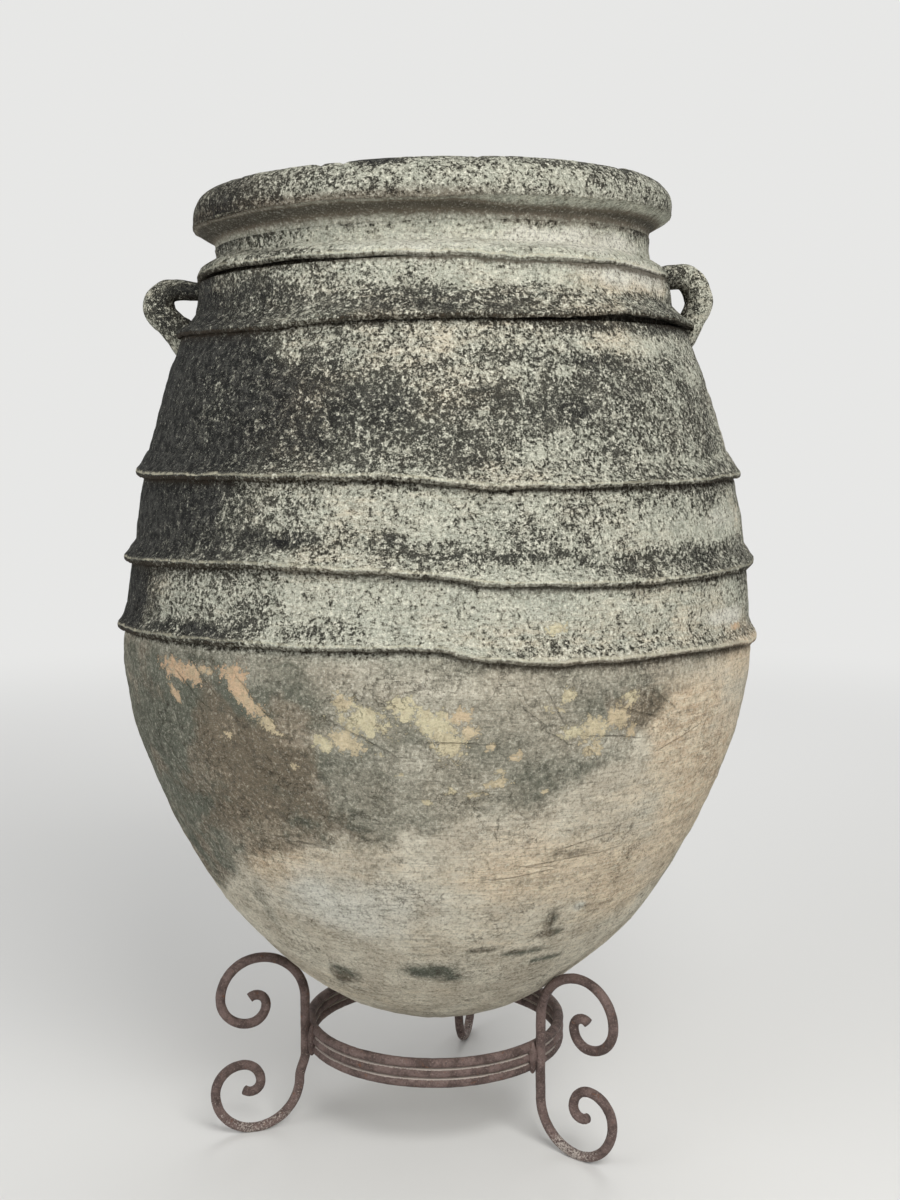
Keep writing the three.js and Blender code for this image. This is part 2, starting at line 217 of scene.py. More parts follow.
def wall_radius(height):
    """Outer radius of the jar's wall without its cordons."""
    h = np.asarray(height, float)
    share = np.clip(1 - h / BELLY_HEIGHT, 0, 1)
    bowl = BELLY_RADIUS * np.sqrt(np.maximum(1 - (share ** (1 / BELLY_FULLNESS) * FOOT_SINE) ** 2, 0))
    upper_share = np.clip((h - BELLY_HEIGHT) / (CORDON_HEIGHTS[2] - BELLY_HEIGHT), 0, None)
    upper = BELLY_RADIUS - (BELLY_RADIUS - SHOULDER_RADIUS) * upper_share ** SHOULDER_FULLNESS
    collar_share = (h - CORDON_HEIGHTS[2]) / (COLLAR_TOP - CORDON_HEIGHTS[2])
    collar = COLLAR_FOOT_RADIUS + (COLLAR_TOP_RADIUS - COLLAR_FOOT_RADIUS) * collar_share
    neck_share = (NECK_WAIST - h) / (NECK_WAIST - COLLAR_TOP)
    neck = NECK_RADIUS + (NECK_FOOT_RADIUS - NECK_RADIUS) * neck_share ** 2
    turned = np.select([h < BELLY_HEIGHT, h < CORDON_HEIGHTS[2], h < COLLAR_TOP], [bowl, upper, collar], neck)
    return turned + np.interp(h, *zip(*FULLNESS))


def settle(points):
    """The courses tip to the left and to the back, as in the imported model, and the jar stands on its lift."""
    x, y, z = points.T
    rise = np.interp(z, *zip(*SIDE_RISES))
    fall = np.interp(z, *zip(*FRONT_FALLS))
    lean = rise * np.maximum(z - CORDON_HEIGHTS[3], 0) / 2
    return np.column_stack([x - lean + np.interp(z, *zip(*SIDE_DRIFT)), y, z + x * rise - y * fall + LIFT])


def on_jar(azimuth, radius, height):
    """Points at the azimuths, each with its own radius and height or all with the same."""
    a = np.radians(azimuth)
    return np.column_stack([radius * np.sin(a), -radius * np.cos(a), np.full(len(a), height)])


def relief(points, height):
    """How far the hand-built wall stands in or out of its ideal shape, in metres."""
    broad = 0.0026 * layered(points, 0.28, 2, 11)
    bands = 0.0010 * noise(points, (0.30, 0.30, 0.016), 21) + 0.0006 * noise(points, (0.16, 0.16, 0.007), 22)
    lumps = 0.0013 * layered(points, 0.055, 3, 31)
    grain = 0.0005 * noise(points, 0.011, 41)
    pits = -0.0016 * smooth(0.55, 0.85, noise(points, 0.019, 51))
    worn = smooth(0.0, 0.5, height)
    return broad + bands * (0.4 + 0.6 * worn) + lumps + grain + pits


# Painted fields. Each patch is (azimuth, height in millimetres, half width, half height, amount).

LICHEN_PATCHES = [
    (-75, 850, 34, 300, 1.02), (-49, 890, 19, 90, 0.9), (-27, 880, 13, 80, 0.74), (-10, 862, 13, 70, 0.66),
    (14, 870, 16, 72, 0.54), (40, 870, 20, 80, 0.45), (75, 880, 22, 100, 0.43), (-28, 965, 10, 18, 0.4),
    (-8, 966, 14, 18, 0.36), (16, 968, 14, 14, 0.32), (42, 968, 20, 16, 0.08), (66, 965, 10, 18, 0.35),
    (8, 816, 9, 8, 0.6), (58, 818, 22, 8, 0.36), (10, 750, 70, 50, 0.24), (-20, 762, 10, 24, 0.22),
    (-32, 756, 10, 30, 0.52), (-50, 745, 14, 56, 0.88), (-75, 745, 22, 60, 1.1), (-28, 720, 12, 16, 0.8),
    (-10, 706, 12, 14, 0.52), (14, 696, 14, 9, 0.62), (46, 692, 24, 10, 0.6), (46, 766, 16, 18, 0.4),
    (10, 628, 70, 44, 0.1), (40, 640, 20, 26, 0.14), (-22, 622, 9, 40, 0.22), (-33, 616, 9, 42, 0.54),
    (-46, 634, 8, 30, 0.36), (-70, 622, 16, 46, 0.98), (-46, 598, 16, 11, 0.74), (-24, 598, 10, 8, 0.44),
    (34, 598, 10, 6, 0.26), (-70, 1030, 24, 44, 0.86), (-38, 1022, 16, 34, 0.62), (-15, 1014, 16, 24, 0.58),
    (8, 1014, 14, 22, 0.61), (22, 1016, 10, 20, 0.55), (38, 1018, 10, 20, 0.36), (60, 1014, 16, 18, 0.45),
    (-14, 1054, 22, 12, 0.24), (22, 1052, 22, 14, 0.04), (46, 1052, 26, 18, -0.4), (14, 1090, 70, 26, -0.2),
    (-52, 1094, 22, 20, 0.36), (-44, 1078, 20, 9, 0.44), (0, 1172, 95, 30, 0.26), (-62, 1170, 22, 30, 0.62),
    (-34, 1172, 16, 30, 0.42), (46, 1174, 22, 26, 0.4), (42, 1190, 30, 8, 0.62), (-14, 1192, 6, 7, 0.85),
    (64, 738, 8, 22, 0), (62, 602, 9, 16, -0.1), (21, 830, 6, 10, 0.26), (62, 930, 7, 14, 0.16),
    (-39, 740, 8, 60, 0.7), (-40, 890, 9, 90, 0.82), (-58, 628, 6, 36, 0.66), (-30, 1050, 8, 14, 0.44),
    (44, 1016, 8, 9, 0.46), (1, 930, 6, 14, 0.58), (10, 930, 6, 13, 0.24), (21, 930, 6, 12, 0.34),
    (20, 880, 5, 16, 0.72), (52, 722, 16, 14, -0.02), (0, 722, 5, 10, -0.05), (-10, 718, 5, 10, 0.66),
    (32, 640, 6, 18, 0.1), (-46, 1172, 8, 22, 0.4), (-50, 1056, 14, 10, 0.54), (-31, 1060, 7, 10, 0.46),
    (1, 968, 5, 14, 0.42), (42, 1172, 9, 14, 0.5), (10, 604, 6, 10, 0.26), (20, 720, 5, 14, 0.42),
]

# Lower edge of the smoked zone: azimuth, height in millimetres
SMOKE_EDGE = [
    (-170, 470), (-140, 360), (-110, 280), (-80, 215), (-60, 238), (-45, 290), (-32, 320), (-20, 352),
    (-2, 366), (10, 396), (20, 402), (32, 436), (40, 512), (45, 544), (60, 548), (76, 600), (100, 610),
    (130, 560), (160, 520),
]
SMOKE_PATCHES = [
    (-52, 430, 30, 130, 1), (-24, 430, 12, 80, 1.1), (-17, 500, 10, 40, 0.52), (-8, 400, 8, 50, 0.66),
    (4, 410, 8, 44, 0.5), (14, 430, 9, 34, 0.55), (21, 430, 7, 26, 0.85), (26, 470, 10, 24, 0.46),
    (14, 500, 12, 24, 0.48), (4, 538, 20, 24, 0.32), (-16, 550, 10, 20, 0.34), (30, 545, 14, 20, 0.5),
    (44, 545, 10, 18, 0.5), (-34, 486, 12, 40, 1.25), (-22, 500, 6, 24, 0.9), (32, 500, 7, 40, 0.95),
    (0, 452, 5, 16, 0.46),
]

# Soot smudges and scuffs on the bare clay; the long one at azimuth -61, height 288, is painted shade along the
# jar's left edge
SMUDGES = [
    (-28, 124, 4.2, 15, 1.3), (-31, 110, 3.4, 11, 1.1), (-2, 145, 7.5, 14, 1.35), (3, 133, 6, 10, 1),
    (27, 200, 3.4, 7, 1.6), (26, 222, 1.2, 20, 1.1), (22, 172, 6, 6, 1.35), (30, 151, 6, 5, 1.1),
    (10, 182, 4.2, 3.5, 1.5), (-42, 232, 2.6, 40, 0.6), (25, 324, 5, 6, 0.75), (34, 236, 3, 4, 0.7),
    (110, 180, 6, 12, 0.9), (150, 260, 9, 16, 0.8), (-130, 150, 8, 14, 0.9), (-165, 220, 5, 30, 0.7),
    (70, 240, 4, 20, 0.5), (-61, 288, 7, 30, 1.1), (19, 290, 7, 7, 0.45), (-33, 290, 5, 10, 0.3),
]

# Places where the skin has flaked: azimuth, height in millimetres, half width, half height, slant, ochre
FLAKES = [
    (-48, 545, 4.6, 15, -1, 1), (-43.5, 540, 2.4, 14, -1.4, 0.9), (-49, 516, 1.4, 12, -1.6, 0.8),
    (-40, 548, 1.6, 8, -1, 0.8), (-34, 546, 3, 13, -0.6, 1), (-33, 530, 2.2, 16, -1.2, 0.9),
    (-30.5, 510, 2.4, 15, -1.4, 0.7), (-27.5, 488, 1.8, 12, -1.4, 0.3), (-12, 500, 4.6, 22, -1.4, 0),
    (-14.5, 474, 2.6, 18, -0.4, 0.3), (-18.5, 470, 1.7, 12, -0.8, 0), (-15, 520, 1.8, 13, -0.6, 0.3),
    (-5, 514, 2.4, 16, -0.6, 0), (-1.5, 500, 3.4, 18, -1, 0), (1.5, 474, 2.8, 20, -0.5, 0.1),
    (3.6, 506, 2, 9, 0, 0.6), (5, 488, 1.7, 8, 0, 0.4), (9.5, 424, 2, 7, 0.5, 0.3),
    (6, 412, 1.6, 4, 0, 0.2), (2, 418, 1.2, 5, 0, 0.1), (12.6, 458, 1.2, 6, 0, 0.5),
    (8, 470, 0.9, 6, 0, 0.4), (10, 440, 0.9, 4, 0, 0.2), (18, 412, 1.1, 5, 0, 0.3),
    (-2, 402, 1.4, 4, 0, 0.1), (21.5, 484, 2.4, 8, 0.4, 0), (25.5, 488, 3, 14, 0.4, 0.2),
    (30, 498, 2.6, 18, 0.4, 0.4), (25.5, 462, 2.2, 12, 0.4, 0.3), (20.5, 528, 1.3, 9, 0, 0.1),
    (18.5, 512, 1.7, 6, -1, 0.1), (33, 478, 1.5, 8, 0, 0.5), (18.5, 608, 2.3, 8, 0, 0),
    (-6, 436, 0.9, 4, 0, 0.1), (-9, 460, 0.8, 4, 0, 0.1), (-24, 440, 0.9, 5, 0, 0.3),
    (-36, 470, 1.2, 5, 0, 0.4), (62, 590, 3.2, 5, 0.6, 1), (32, 520, 1.9, 9, 0.3, 0.1),
    (84, 640, 3, 14, 0.4, 0), (96, 520, 5, 18, 1, 0.6), (122, 470, 4, 22, -1.2, 0.2),
    (150, 540, 5, 12, 0.5, 0.9), (158, 520, 3, 14, -0.8, 0.4), (178, 500, 6, 20, -1, 0.1),
    (-158, 430, 4, 16, 0.6, 0.3), (-128, 520, 5, 20, -1.4, 0.9), (-120, 500, 3, 14, -1, 0.5),
    (-100, 470, 4, 14, 0.8, 0.2), (-84, 520, 3, 18, -1, 0.8),
]

# Scratches and thin cracks: azimuth and height in millimetres of both ends, half width in millimetres
SCRATCHES = [
    (-16, 494, -7, 462, 0.9), (17, 532, 20, 494, 0.7), (13, 514, 17, 492, 1.1), (16, 489, 21, 470, 0.8),
    (30, 508, 38, 492, 1), (38, 520, 42, 500, 0.8), (24, 478, 34, 470, 0.7), (-2, 476, 6, 474, 0.7),
    (16, 312, 37, 322, 0.8), (22, 330, 33, 345, 0.7), (10, 296, 22, 304, 0.6), (-33, 540, -26, 486, 0.8),
    (-47, 540, -41, 506, 0.9), (-42, 548, -38, 520, 0.7), (-58, 470, -50, 404, 0.8),
    (26, 232, 27, 204, 1.1), (8, 183, 12, 185, 1.5), (-26, 340, -20, 336, 1.2), (40, 448, 50, 470, 0.6),
    (100, 470, 116, 440, 0.9), (-120, 520, -108, 470, 0.9), (160, 380, 176, 394, 0.8),
    (-175, 540, -168, 500, 0.8), (135, 560, 140, 520, 1), (-90, 420, -80, 380, 0.8), (0, 952, 4, 930, 0.7),
]

# Warm and cold ground colour of the bare clay
WARM_PATCHES = [
    (46, 470, 16, 60, 0.95), (60, 400, 14, 90, 0.85), (34, 400, 10, 30, 0.55), (-30, 300, 8, 26, 0.9),
    (20, 300, 22, 40, 0.7), (10, 200, 30, 40, 0.45), (-10, 260, 14, 40, 0.25), (-50, 180, 24, 60, 0.2),
    (46, 250, 14, 50, 0.75), (70, 560, 14, 40, 0.75), (54, 1046, 24, 20, 0.7), (30, 1100, 50, 12, 0.35),
    (120, 380, 30, 90, 0.7), (-140, 300, 34, 80, 0.6), (-32, 430, 18, 90, 0.8), (-2, 450, 12, 60, 0.05),
    (24, 460, 10, 50, 0.1), (-60, 440, 14, 100, 0.2), (-6, 540, 30, 24, 0.08),
]

# Clay bleached nearly white
BLEACH_PATCHES = [
    (0, 1088, 60, 20, 0.55), (40, 1096, 26, 16, 0.95), (-52, 1096, 24, 20, 0.1), (50, 1052, 22, 18, 0.8),
    (0, 1172, 100, 30, 0), (0, 625, 26, 34, 0.35), (62, 602, 10, 16, 0.9), (64, 740, 8, 20, 0.6),
    (-18, 250, 20, 62, 0.85), (58, 470, 14, 60, 0.42), (33, 236, 3, 8, 0.9), (150, 1090, 60, 18, 0.5),
    (-4, 968, 20, 16, 0.3), (6, 762, 16, 20, 0.3),
]

# What the fields say far from any flake or scratch
NO_FLAKE = -3.0
NO_SCRATCH = 60.0


def turned_from(azimuth, middle):
    """Degrees to the right of a middle azimuth, from -180 to 180."""
    return (azimuth - middle + 180) % 360 - 180


def right_side(azimuth):
    """1 on the jar's right side, falling to 0 at its front and towards its back."""
    turned = turned_from(azimuth, 0)
    return smooth(0, 24, turned) * smooth(150, 110, turned)


def paint(field, azimuth, height, patches):
    """Each patch pulls the field towards its own amount, flat in its middle and soft at its edge."""
    for middle, at, half_width, half_height, amount in patches:
        across = turned_from(azimuth, middle) / half_width
        up = (height * 1000 - at) / half_height
        field = field + (amount - field) * np.exp(-(across ** 2 + up ** 2) ** 1.5)
    return field


def painted_fields(azimuth, height):
    """Stain fields over the jar's outside, each one number for each point."""
    points = on_jar(azimuth, wall_radius(height), height)
    drift = layered(points, 0.09, 3, 101)
    rise = layered(points, 0.06, 3, 111)
    az = azimuth + 12 * drift
    h = height + 0.011 * rise
    lichen = paint(0.46 + 0.5 * layered(points, 0.30, 4, 121), az, h, LICHEN_PATCHES)
    lichen = lichen + 0.22 * layered(points, 0.06, 4, 125)
    above = smooth(BELLY_HEIGHT, CRUST_FOOT, height)
    lichen = lichen * above - 0.6 * (1 - above)
    edge = around(SMOKE_EDGE, azimuth) / 1000
    smoked = smooth(-0.013, 0.013, height - edge + 0.042 * layered(points, 0.08, 5, 131)) * (1 - above)
    smoke = smoked * (paint(0.8 + 0.2 * rise, az, h, SMOKE_PATCHES) + 0.12 * rise)
    streaky = layered(points, 0.02, 3, 141)
    smudge = paint(np.zeros(len(points)), azimuth + 1.2 * streaky, height + 0.004 * drift, SMUDGES)
    smoke = np.maximum(smoke, smudge * (0.98 + 0.6 * streaky))
    warm = paint(0.35 + 0.5 * layered(points, (0.16, 0.16, 0.10), 3, 151), az, h, WARM_PATCHES)
    bleach = paint(0.15 + 0.3 * drift, az, h, BLEACH_PATCHES)
    return {"lichen": lichen, "smoke": smoke, "warm": np.clip(warm, 0, 1), "crusty": above, "bleach": bleach}


def flake_fields(azimuth, height):
    """Signed closeness to the flaked places, above 0 inside them, and how ochre the clay is there."""
    points = on_jar(azimuth, wall_radius(height), height)
    best = np.full(len(azimuth), NO_FLAKE)
    ochre = np.zeros(len(azimuth))
    for middle, at, half_width, half_height, slant, tint in FLAKES:
        across = turned_from(azimuth, middle)
        up = height * 1000 - at
        across = (across - slant * up / half_height * half_width * 0.4) / half_width
        inside = 1 - np.sqrt(across ** 2 + (up / half_height) ** 2)
        ochre = np.where(inside > best, tint, ochre)
        best = np.maximum(best, inside)
    return best + 0.35 * layered(points, 0.022, 3, 161), ochre


def scratch_field(azimuth, height):
    """Signed distance in millimetres to the nearest scratch, less its half width where it is cut deepest."""
    nearest = np.full(len(azimuth), NO_SCRATCH)
    signed = np.full(len(azimuth), NO_SCRATCH)
    points = on_jar(azimuth, wall_radius(height), height)
    bend = 2.5 * layered(points, 0.03, 3, 171)
    for start, low, end, high, half_width in SCRATCHES:
        scale = math.radians(1) * float(wall_radius(low / 1000)) * 1000
        x = turned_from(azimuth, start) * scale + bend
        y = height * 1000 - low + bend
        run = np.array([(end - start) * scale, high - low])
        length = np.linalg.norm(run)
        run = run / length
        along = x * run[0] + y * run[1]
        across = x * -run[1] + y * run[0]
        beyond = np.maximum(np.maximum(-along, along - length), 0)
        distance = np.hypot(across, beyond)
        value = np.where(across < 0, -1, 1) * (np.abs(across) / half_width + beyond)
        signed = np.where(distance < nearest, value, signed)
        nearest = np.minimum(distance, nearest)
    return signed


# Mesh building

def add_mesh(name, vertices, faces, fields):
    mesh = bpy.data.meshes.new(name)
    mesh.from_pydata(vertices.tolist(), [], faces)
    for key, values in fields.items():
        layer = mesh.attributes.new(key, "FLOAT", "POINT")
        layer.data.foreach_set("value", np.asarray(values, np.float32))
    mesh.polygons.foreach_set("use_smooth", np.ones(len(mesh.polygons), bool))
    mesh.update()
    piece = bpy.data.objects.new(name, mesh)
    bpy.context.scene.collection.objects.link(piece)
    return piece


def place(piece, body, node, slot, material):
    piece.data.materials.append(material)
    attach(piece, body)
    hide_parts(node)


def wrap_faces(rows, columns, closed):
    """Faces of a grid whose columns close on themselves, and whose rows do too if closed."""
    faces = []
    for i in range(rows if closed else rows - 1):
        low = i * columns
        high = ((i + 1) % rows) * columns
        for j in range(columns):
            k = (j + 1) % columns
            faces.append((low + j, low + k, high + k, high + j))
    return faces


def densify(outline, step):
    """Points along an outline of (radius, height), no further apart than step."""
    out = [outline[0]]
    for start, end in zip(outline, outline[1:]):
        count = max(1, math.ceil(math.dist(start, end) / step))
        for k in range(1, count + 1):
            t = k / count
            out.append((start[0] + (end[0] - start[0]) * t, start[1] + (end[1] - start[1]) * t))
    return np.array(out)


def wall_line(bottom, top, step=ROW_STEP, inset=0.0):
    heights = np.linspace(bottom, top, max(2, round((top - bottom) / step) + 1))
    return [(r - inset, h) for r, h in zip(wall_radius(heights), heights)]


AZIMUTHS = np.arange(TURN_STEPS) * 360 / TURN_STEPS

# What the stain fields say inside the jar
INSIDE_FIELDS = {
    "lichen": 0.16, "smoke": 0.18, "warm": 0.5, "flake": NO_FLAKE, "ochre": 0.0, "dirt": 0.1, "lip": 0.0,
    "brown": 0.2, "crusty": 0.5, "scratch": NO_SCRATCH, "bleach": 0.0,
}


def skin(name, outer, inner, shape, on_axis=False):
    """A turned clay piece: its outer rows carry stains, its inner rows stay plain.

    outer and inner are outlines of (radius, height), outer from its foot up and inner from its top down.
    shape(azimuth, radius, height) returns moved radii and heights, and more fields for the outer rows.
    """
    outer = np.array(outer)
    inner = np.array(inner)
    rows = np.vstack([outer, inner])
    azimuth = np.tile(AZIMUTHS, len(rows))
    radius = np.repeat(rows[:, 0], TURN_STEPS)
    height = np.repeat(rows[:, 1], TURN_STEPS)
    slope = np.gradient(outer, axis=0)
    length = np.maximum(np.linalg.norm(slope, axis=1), 1e-9)
    normal_out = np.concatenate([slope[:, 1] / length, np.full(len(inner), -1.0)])
    normal_up = np.concatenate([-slope[:, 0] / length, np.zeros(len(inner))])
    is_outer = np.repeat(np.arange(len(rows)) < len(outer), TURN_STEPS)
    radius, height, extra = shape(azimuth, radius, height)
    points = on_jar(azimuth, radius, height)
    move = relief(points, height) * np.where(is_outer, 1.0, 0.8)
    radius = radius + move * np.repeat(normal_out, TURN_STEPS)
    height = height + move * np.repeat(normal_up, TURN_STEPS)
    vertices = settle(on_jar(azimuth, radius, height))
    fields = painted_fields(azimuth, height)
    flake, ochre = flake_fields(azimuth, height)
    fields.update(flake=flake, ochre=ochre, scratch=scratch_field(azimuth, height))
    fields.update(extra)
    for key, value in INSIDE_FIELDS.items():
        fields[key] = np.where(is_outer, fields.get(key, 0.0), value)
    faces = wrap_faces(len(rows), TURN_STEPS, not on_axis)
    if on_axis:
        vertices, faces, fields = close_on_axis(vertices, faces, fields, rows)
    return add_mesh(name, vertices, faces, fields)


def close_on_axis(vertices, faces, fields, rows):
    """One vertex under and one over the innermost rows, with fans to them."""
    ends = settle(np.array([[0, 0, rows[0, 1]], [0, 0, rows[-1, 1]]]))
    first = len(vertices)
    last_row = (len(rows) - 1) * TURN_STEPS
    for j in range(TURN_STEPS):
        k = (j + 1) % TURN_STEPS
        faces.append((first, k, j))
        faces.append((first + 1, last_row + j, last_row + k))
    fields = {key: np.append(values, [values[0], values[-1]]) for key, values in fields.items()}
    return np.vstack([vertices, ends]), faces, fields


# Cordons

def wander(number, azimuth):
    """Rise of a cordon at each azimuth: as photographed at the front, made up round the back."""
    front = around(CORDON_WANDER[number], azimuth) / 1000
    ring = on_jar(azimuth, 0.4, number * 1.7)
    back = 0.007 * layered(ring, 0.30, 2, 200 + number)
    share = smooth(75, 105, np.abs(turned_from(azimuth, 0)))
    return front * (1 - share) + back * share + 0.0018 * layered(ring, 0.05, 2, 210 + number)


def crease_height(number, azimuth):
    drop = NECK_CORDON_DROP if number == 1 else CORDON_DROP
    return CORDON_HEIGHTS[number] - drop + wander(number, azimuth)


def crease_dirt(azimuth, height):
    """Painted shade and dirt in the undercut below every cordon, fading softly down the wall."""
    dirt = np.zeros(len(azimuth))
    for number in CORDON_HEIGHTS:
        below = crease_height(number, azimuth) - height
        strength = 1.3 if number == 1 else 1.0
        dirt = np.maximum(dirt, strength * np.exp(-((below + 0.002) / 0.007) ** 2) * (below > -0.012))
        dirt = np.maximum(dirt, 0.55 * np.exp(-(np.maximum(below, 0) / 0.016) ** 2) * (below > -0.004))
    return dirt


def wall_shape(azimuth, radius, height):
    """Walls keep their shape. Their creases get painted shade and dirt, and the neck's top gets brown painted
    shade under the rim.
    """
    brown = (0.24 + 0.55 * right_side(azimuth)) * smooth(NECK_TOP - 0.014, NECK_TOP, height)
    return radius, height, {"dirt": crease_dirt(azimuth, height), "brown": brown}


# Across a cordon, from its crease up over its lip to its feathered top: share of proudness, share of rise
CORDON_SECTION = [
    (-0.1, -0.62), (0.4, -0.7), (0.74, -0.94), (0.95, -0.62), (1, -0.16), (0.94, 0.06), (0.8, 0.14),
    (0.6, 0.25), (0.42, 0.39), (0.26, 0.57), (0.12, 0.77), (0.02, 0.95), (-0.1, 1.05),
]
# The first cordon is the neck's flared foot, lapped over the collar as a thin sheet
NECK_CORDON_SECTION = [
    (-0.1, -0.7), (0.5, -0.8), (0.84, -1), (0.98, -0.62), (1, -0.2), (0.95, 0.14), (0.86, 0.32), (0.7, 0.5),
    (0.5, 0.66), (0.3, 0.8), (0.14, 0.92), (0.02, 1.02), (-0.1, 1.1),
]


def cordon(name, number):
    base = CORDON_HEIGHTS[number]
    rise = NECK_CORDON_RISE if number == 1 else CORDON_RISE
    drop = NECK_CORDON_DROP if number == 1 else CORDON_DROP
    section = np.array(NECK_CORDON_SECTION if number == 1 else CORDON_SECTION)
    fine = np.linspace(0, len(section) - 1, (len(section) - 1) * 2 + 1)
    proud_share = np.interp(fine, np.arange(len(section)), section[:, 0])
    rise_share = np.interp(fine, np.arange(len(section)), section[:, 1])
    low_wall = wall_radius(base - drop) if number != 1 else NECK_FOOT_RADIUS + NECK_CORDON_FLARE
    tip = NECK_CORDON_RADIUS if number == 1 else wall_radius(base - HAIR) + CORDON_PROUD
    heights = base + np.where(rise_share < 0, rise_share * drop, rise_share * rise)
    walls = np.where(rise_share < 0, low_wall, wall_radius(np.maximum(heights, base + HAIR)))
    outer = np.column_stack([walls + (tip - walls) * proud_share, heights])
    back = [(walls[-1] - CORDON_BACK, heights[-1]), (min(low_wall, walls[-1]) - CORDON_BACK, heights[0])]
    share = np.concatenate([proud_share, [0, 0]])
    lift = np.concatenate([rise_share, [1, -1]])

    def shape(azimuth, radius, height):
        rows = np.repeat(share, TURN_STEPS)
        proud = np.clip(rows, 0, 1)
        up = np.repeat(lift, TURN_STEPS)
        ring = on_jar(azimuth, 0.4, base)
        swell = 0.0022 * layered(ring, 0.12, 3, 220 + number)
        chips = smooth(0.45, 0.75, layered(ring, (0.035, 0.035, 1.0), 2, 230 + number))
        radius = radius + proud * (swell - 0.0045 * chips)
        nibble = 0.0016 * layered(ring, 0.012, 2, 240 + number)
        height = height + wander(number, azimuth) + nibble * proud
        height = height + np.where(up > 0.5, (up - 0.5) * 0.012 * layered(ring, 0.09, 2, 250 + number), 0)
        # A pale painted highlight, with some wear, along the lip, and painted shade on its underside
        lip = np.exp(-((up + 0.04) / 0.16) ** 2) * proud * LIP_HIGHLIGHT_AND_WEAR[number]
        dirt = np.where(up < -0.3, 1.0, 0.0) * (1 - 0.3 * rows)
        return radius, height, {"lip": lip, "dirt": dirt}

    return skin(name, outer, back, shape)


# Rim: a roll whose face laps over its own underside in a fine crease

def roll(height):
    """Radius of the rim's roll at a height below its top."""
    share = (height - RIM_MIDDLE) / RIM_HALF_HEIGHT
    return RIM_CENTRE_RADIUS + RIM_HALF_WIDTH * math.sqrt(max(1 - share ** 2, 0))


# Hollow under the rim, out from the neck and up from its top, in metres
RIM_HOLLOW = [
    (0, 0.002), (0.0002, 0.006), (0.002, 0.0105), (0.0065, 0.014), (0.0135, 0.018), (0.021, 0.0225),
    (0.026, 0.0258),
]


def rim_outline():
    under = [(NECK_RADIUS + out, NECK_TOP + up) for out, up in RIM_HOLLOW]
    crease = roll(RIM_CREASE)
    fold = [(crease - 0.0016, RIM_CREASE - 0.001), (crease + 0.0010, RIM_CREASE + 0.0004),
            (crease + 0.0016, RIM_CREASE + 0.0022)]
    face = [(roll(h) + 0.0006, h) for h in np.linspace(RIM_CREASE + 0.006, RIM_TOP - 0.004, 12)]
    land = RIM_HALF_WIDTH * 0.3
    over = [(RIM_CENTRE_RADIUS + land * k, RIM_TOP - 0.0012 * abs(k) ** 3) for k in (1, 0.5, 0, -0.5, -1)]
    inside = NECK_RADIUS - WALL
    back = [(inside + 0.003, RIM_TOP - 0.007), (inside, RIM_TOP - 0.016), (inside, NECK_TOP + 0.02)]
    foot = (NECK_RADIUS - 0.001, NECK_TOP - 0.002)
    return [foot] + under + fold + face + over, back + [(inside, NECK_TOP - 0.002)]


def rim_shape(azimuth, radius, height):
    ring = on_jar(azimuth, 0.34, 0.0)
    below = RIM_CREASE - height
    slip = 0.0022 * layered(ring, 0.07, 3, 261) * np.exp(-(below / 0.008) ** 2)
    top = smooth(RIM_TOP - 0.014, RIM_TOP, height)
    chipped = -0.003 * top * smooth(0.35, 0.8, layered(ring, 0.03, 3, 262))
    hidden = smooth(-0.001, 0.004, below)
    right = right_side(azimuth)
    low = below - 0.007 * right
    # Painted shade in the hollow below the crease, fading towards the neck
    under = hidden * smooth(-0.003, 0.006 + 0.004 * right, low) * (1 - 0.75 * smooth(0.007, 0.026, low))
    # A thin painted highlight along the crease
    lip = np.exp(-((below + 0.0015) / 0.0025) ** 2)
    left = np.exp(-(turned_from(azimuth, -60) / 26) ** 4)
    sides = smooth(0.25, 0.85, np.abs(np.sin(np.radians(azimuth))))
    # Brown under the rim is painted shade, darker at the sides; on the face it is grime, more on the left and
    # towards the crease
    brown = (1.5 - 0.15 * right + 0.25 * layered(ring, 0.1, 3, 264) + 0.3 * sides) * under
    face = 0.45 * left * (1 - 0.6 * top) + 0.20 + 0.75 * smooth(0.020, 0.0, -below) * (1 - 0.8 * right)
    brown = np.maximum(brown, face * (1 - hidden))
    painted = painted_fields(azimuth, height)
    # The darkening under the crease in these fields is painted shade
    fields = {
        "brown": brown, "lip": 0.5 * lip, "lichen": painted["lichen"] - 1.2 * hidden, "dirt": 0.3 * under,
        "warm": painted["warm"] * 0.2, "bleach": painted["bleach"] * 0.5,
    }
    return radius + slip * 0.5, height + slip + chipped, fields


# Handles

def sweep(path, side, offsets, closed=False):
    """A solid swept along a flat path. offsets(i) gives the section as (out, across) pairs in metres."""
    path = np.array(path)
    across = np.array(side, float)
    step = np.roll(path, -1, 0) - np.roll(path, 1, 0) if closed else np.gradient(path, axis=0)
    tangent = step / np.linalg.norm(step, axis=1)[:, None]
    out = np.cross(across, tangent)
    rings = []
    for i, point in enumerate(path):
        section = np.array(offsets(i))
        rings.append(point + section[:, :1] * out[i] + section[:, 1:] * across)
    columns = len(rings[0])
    vertices = np.vstack(rings)
    faces = [face[::-1] for face in wrap_faces(len(path), columns, closed)]
    if not closed:
        faces.append(tuple(range(columns)))
        faces.append(tuple(reversed(range(len(vertices) - columns, len(vertices)))))
    return vertices, faces


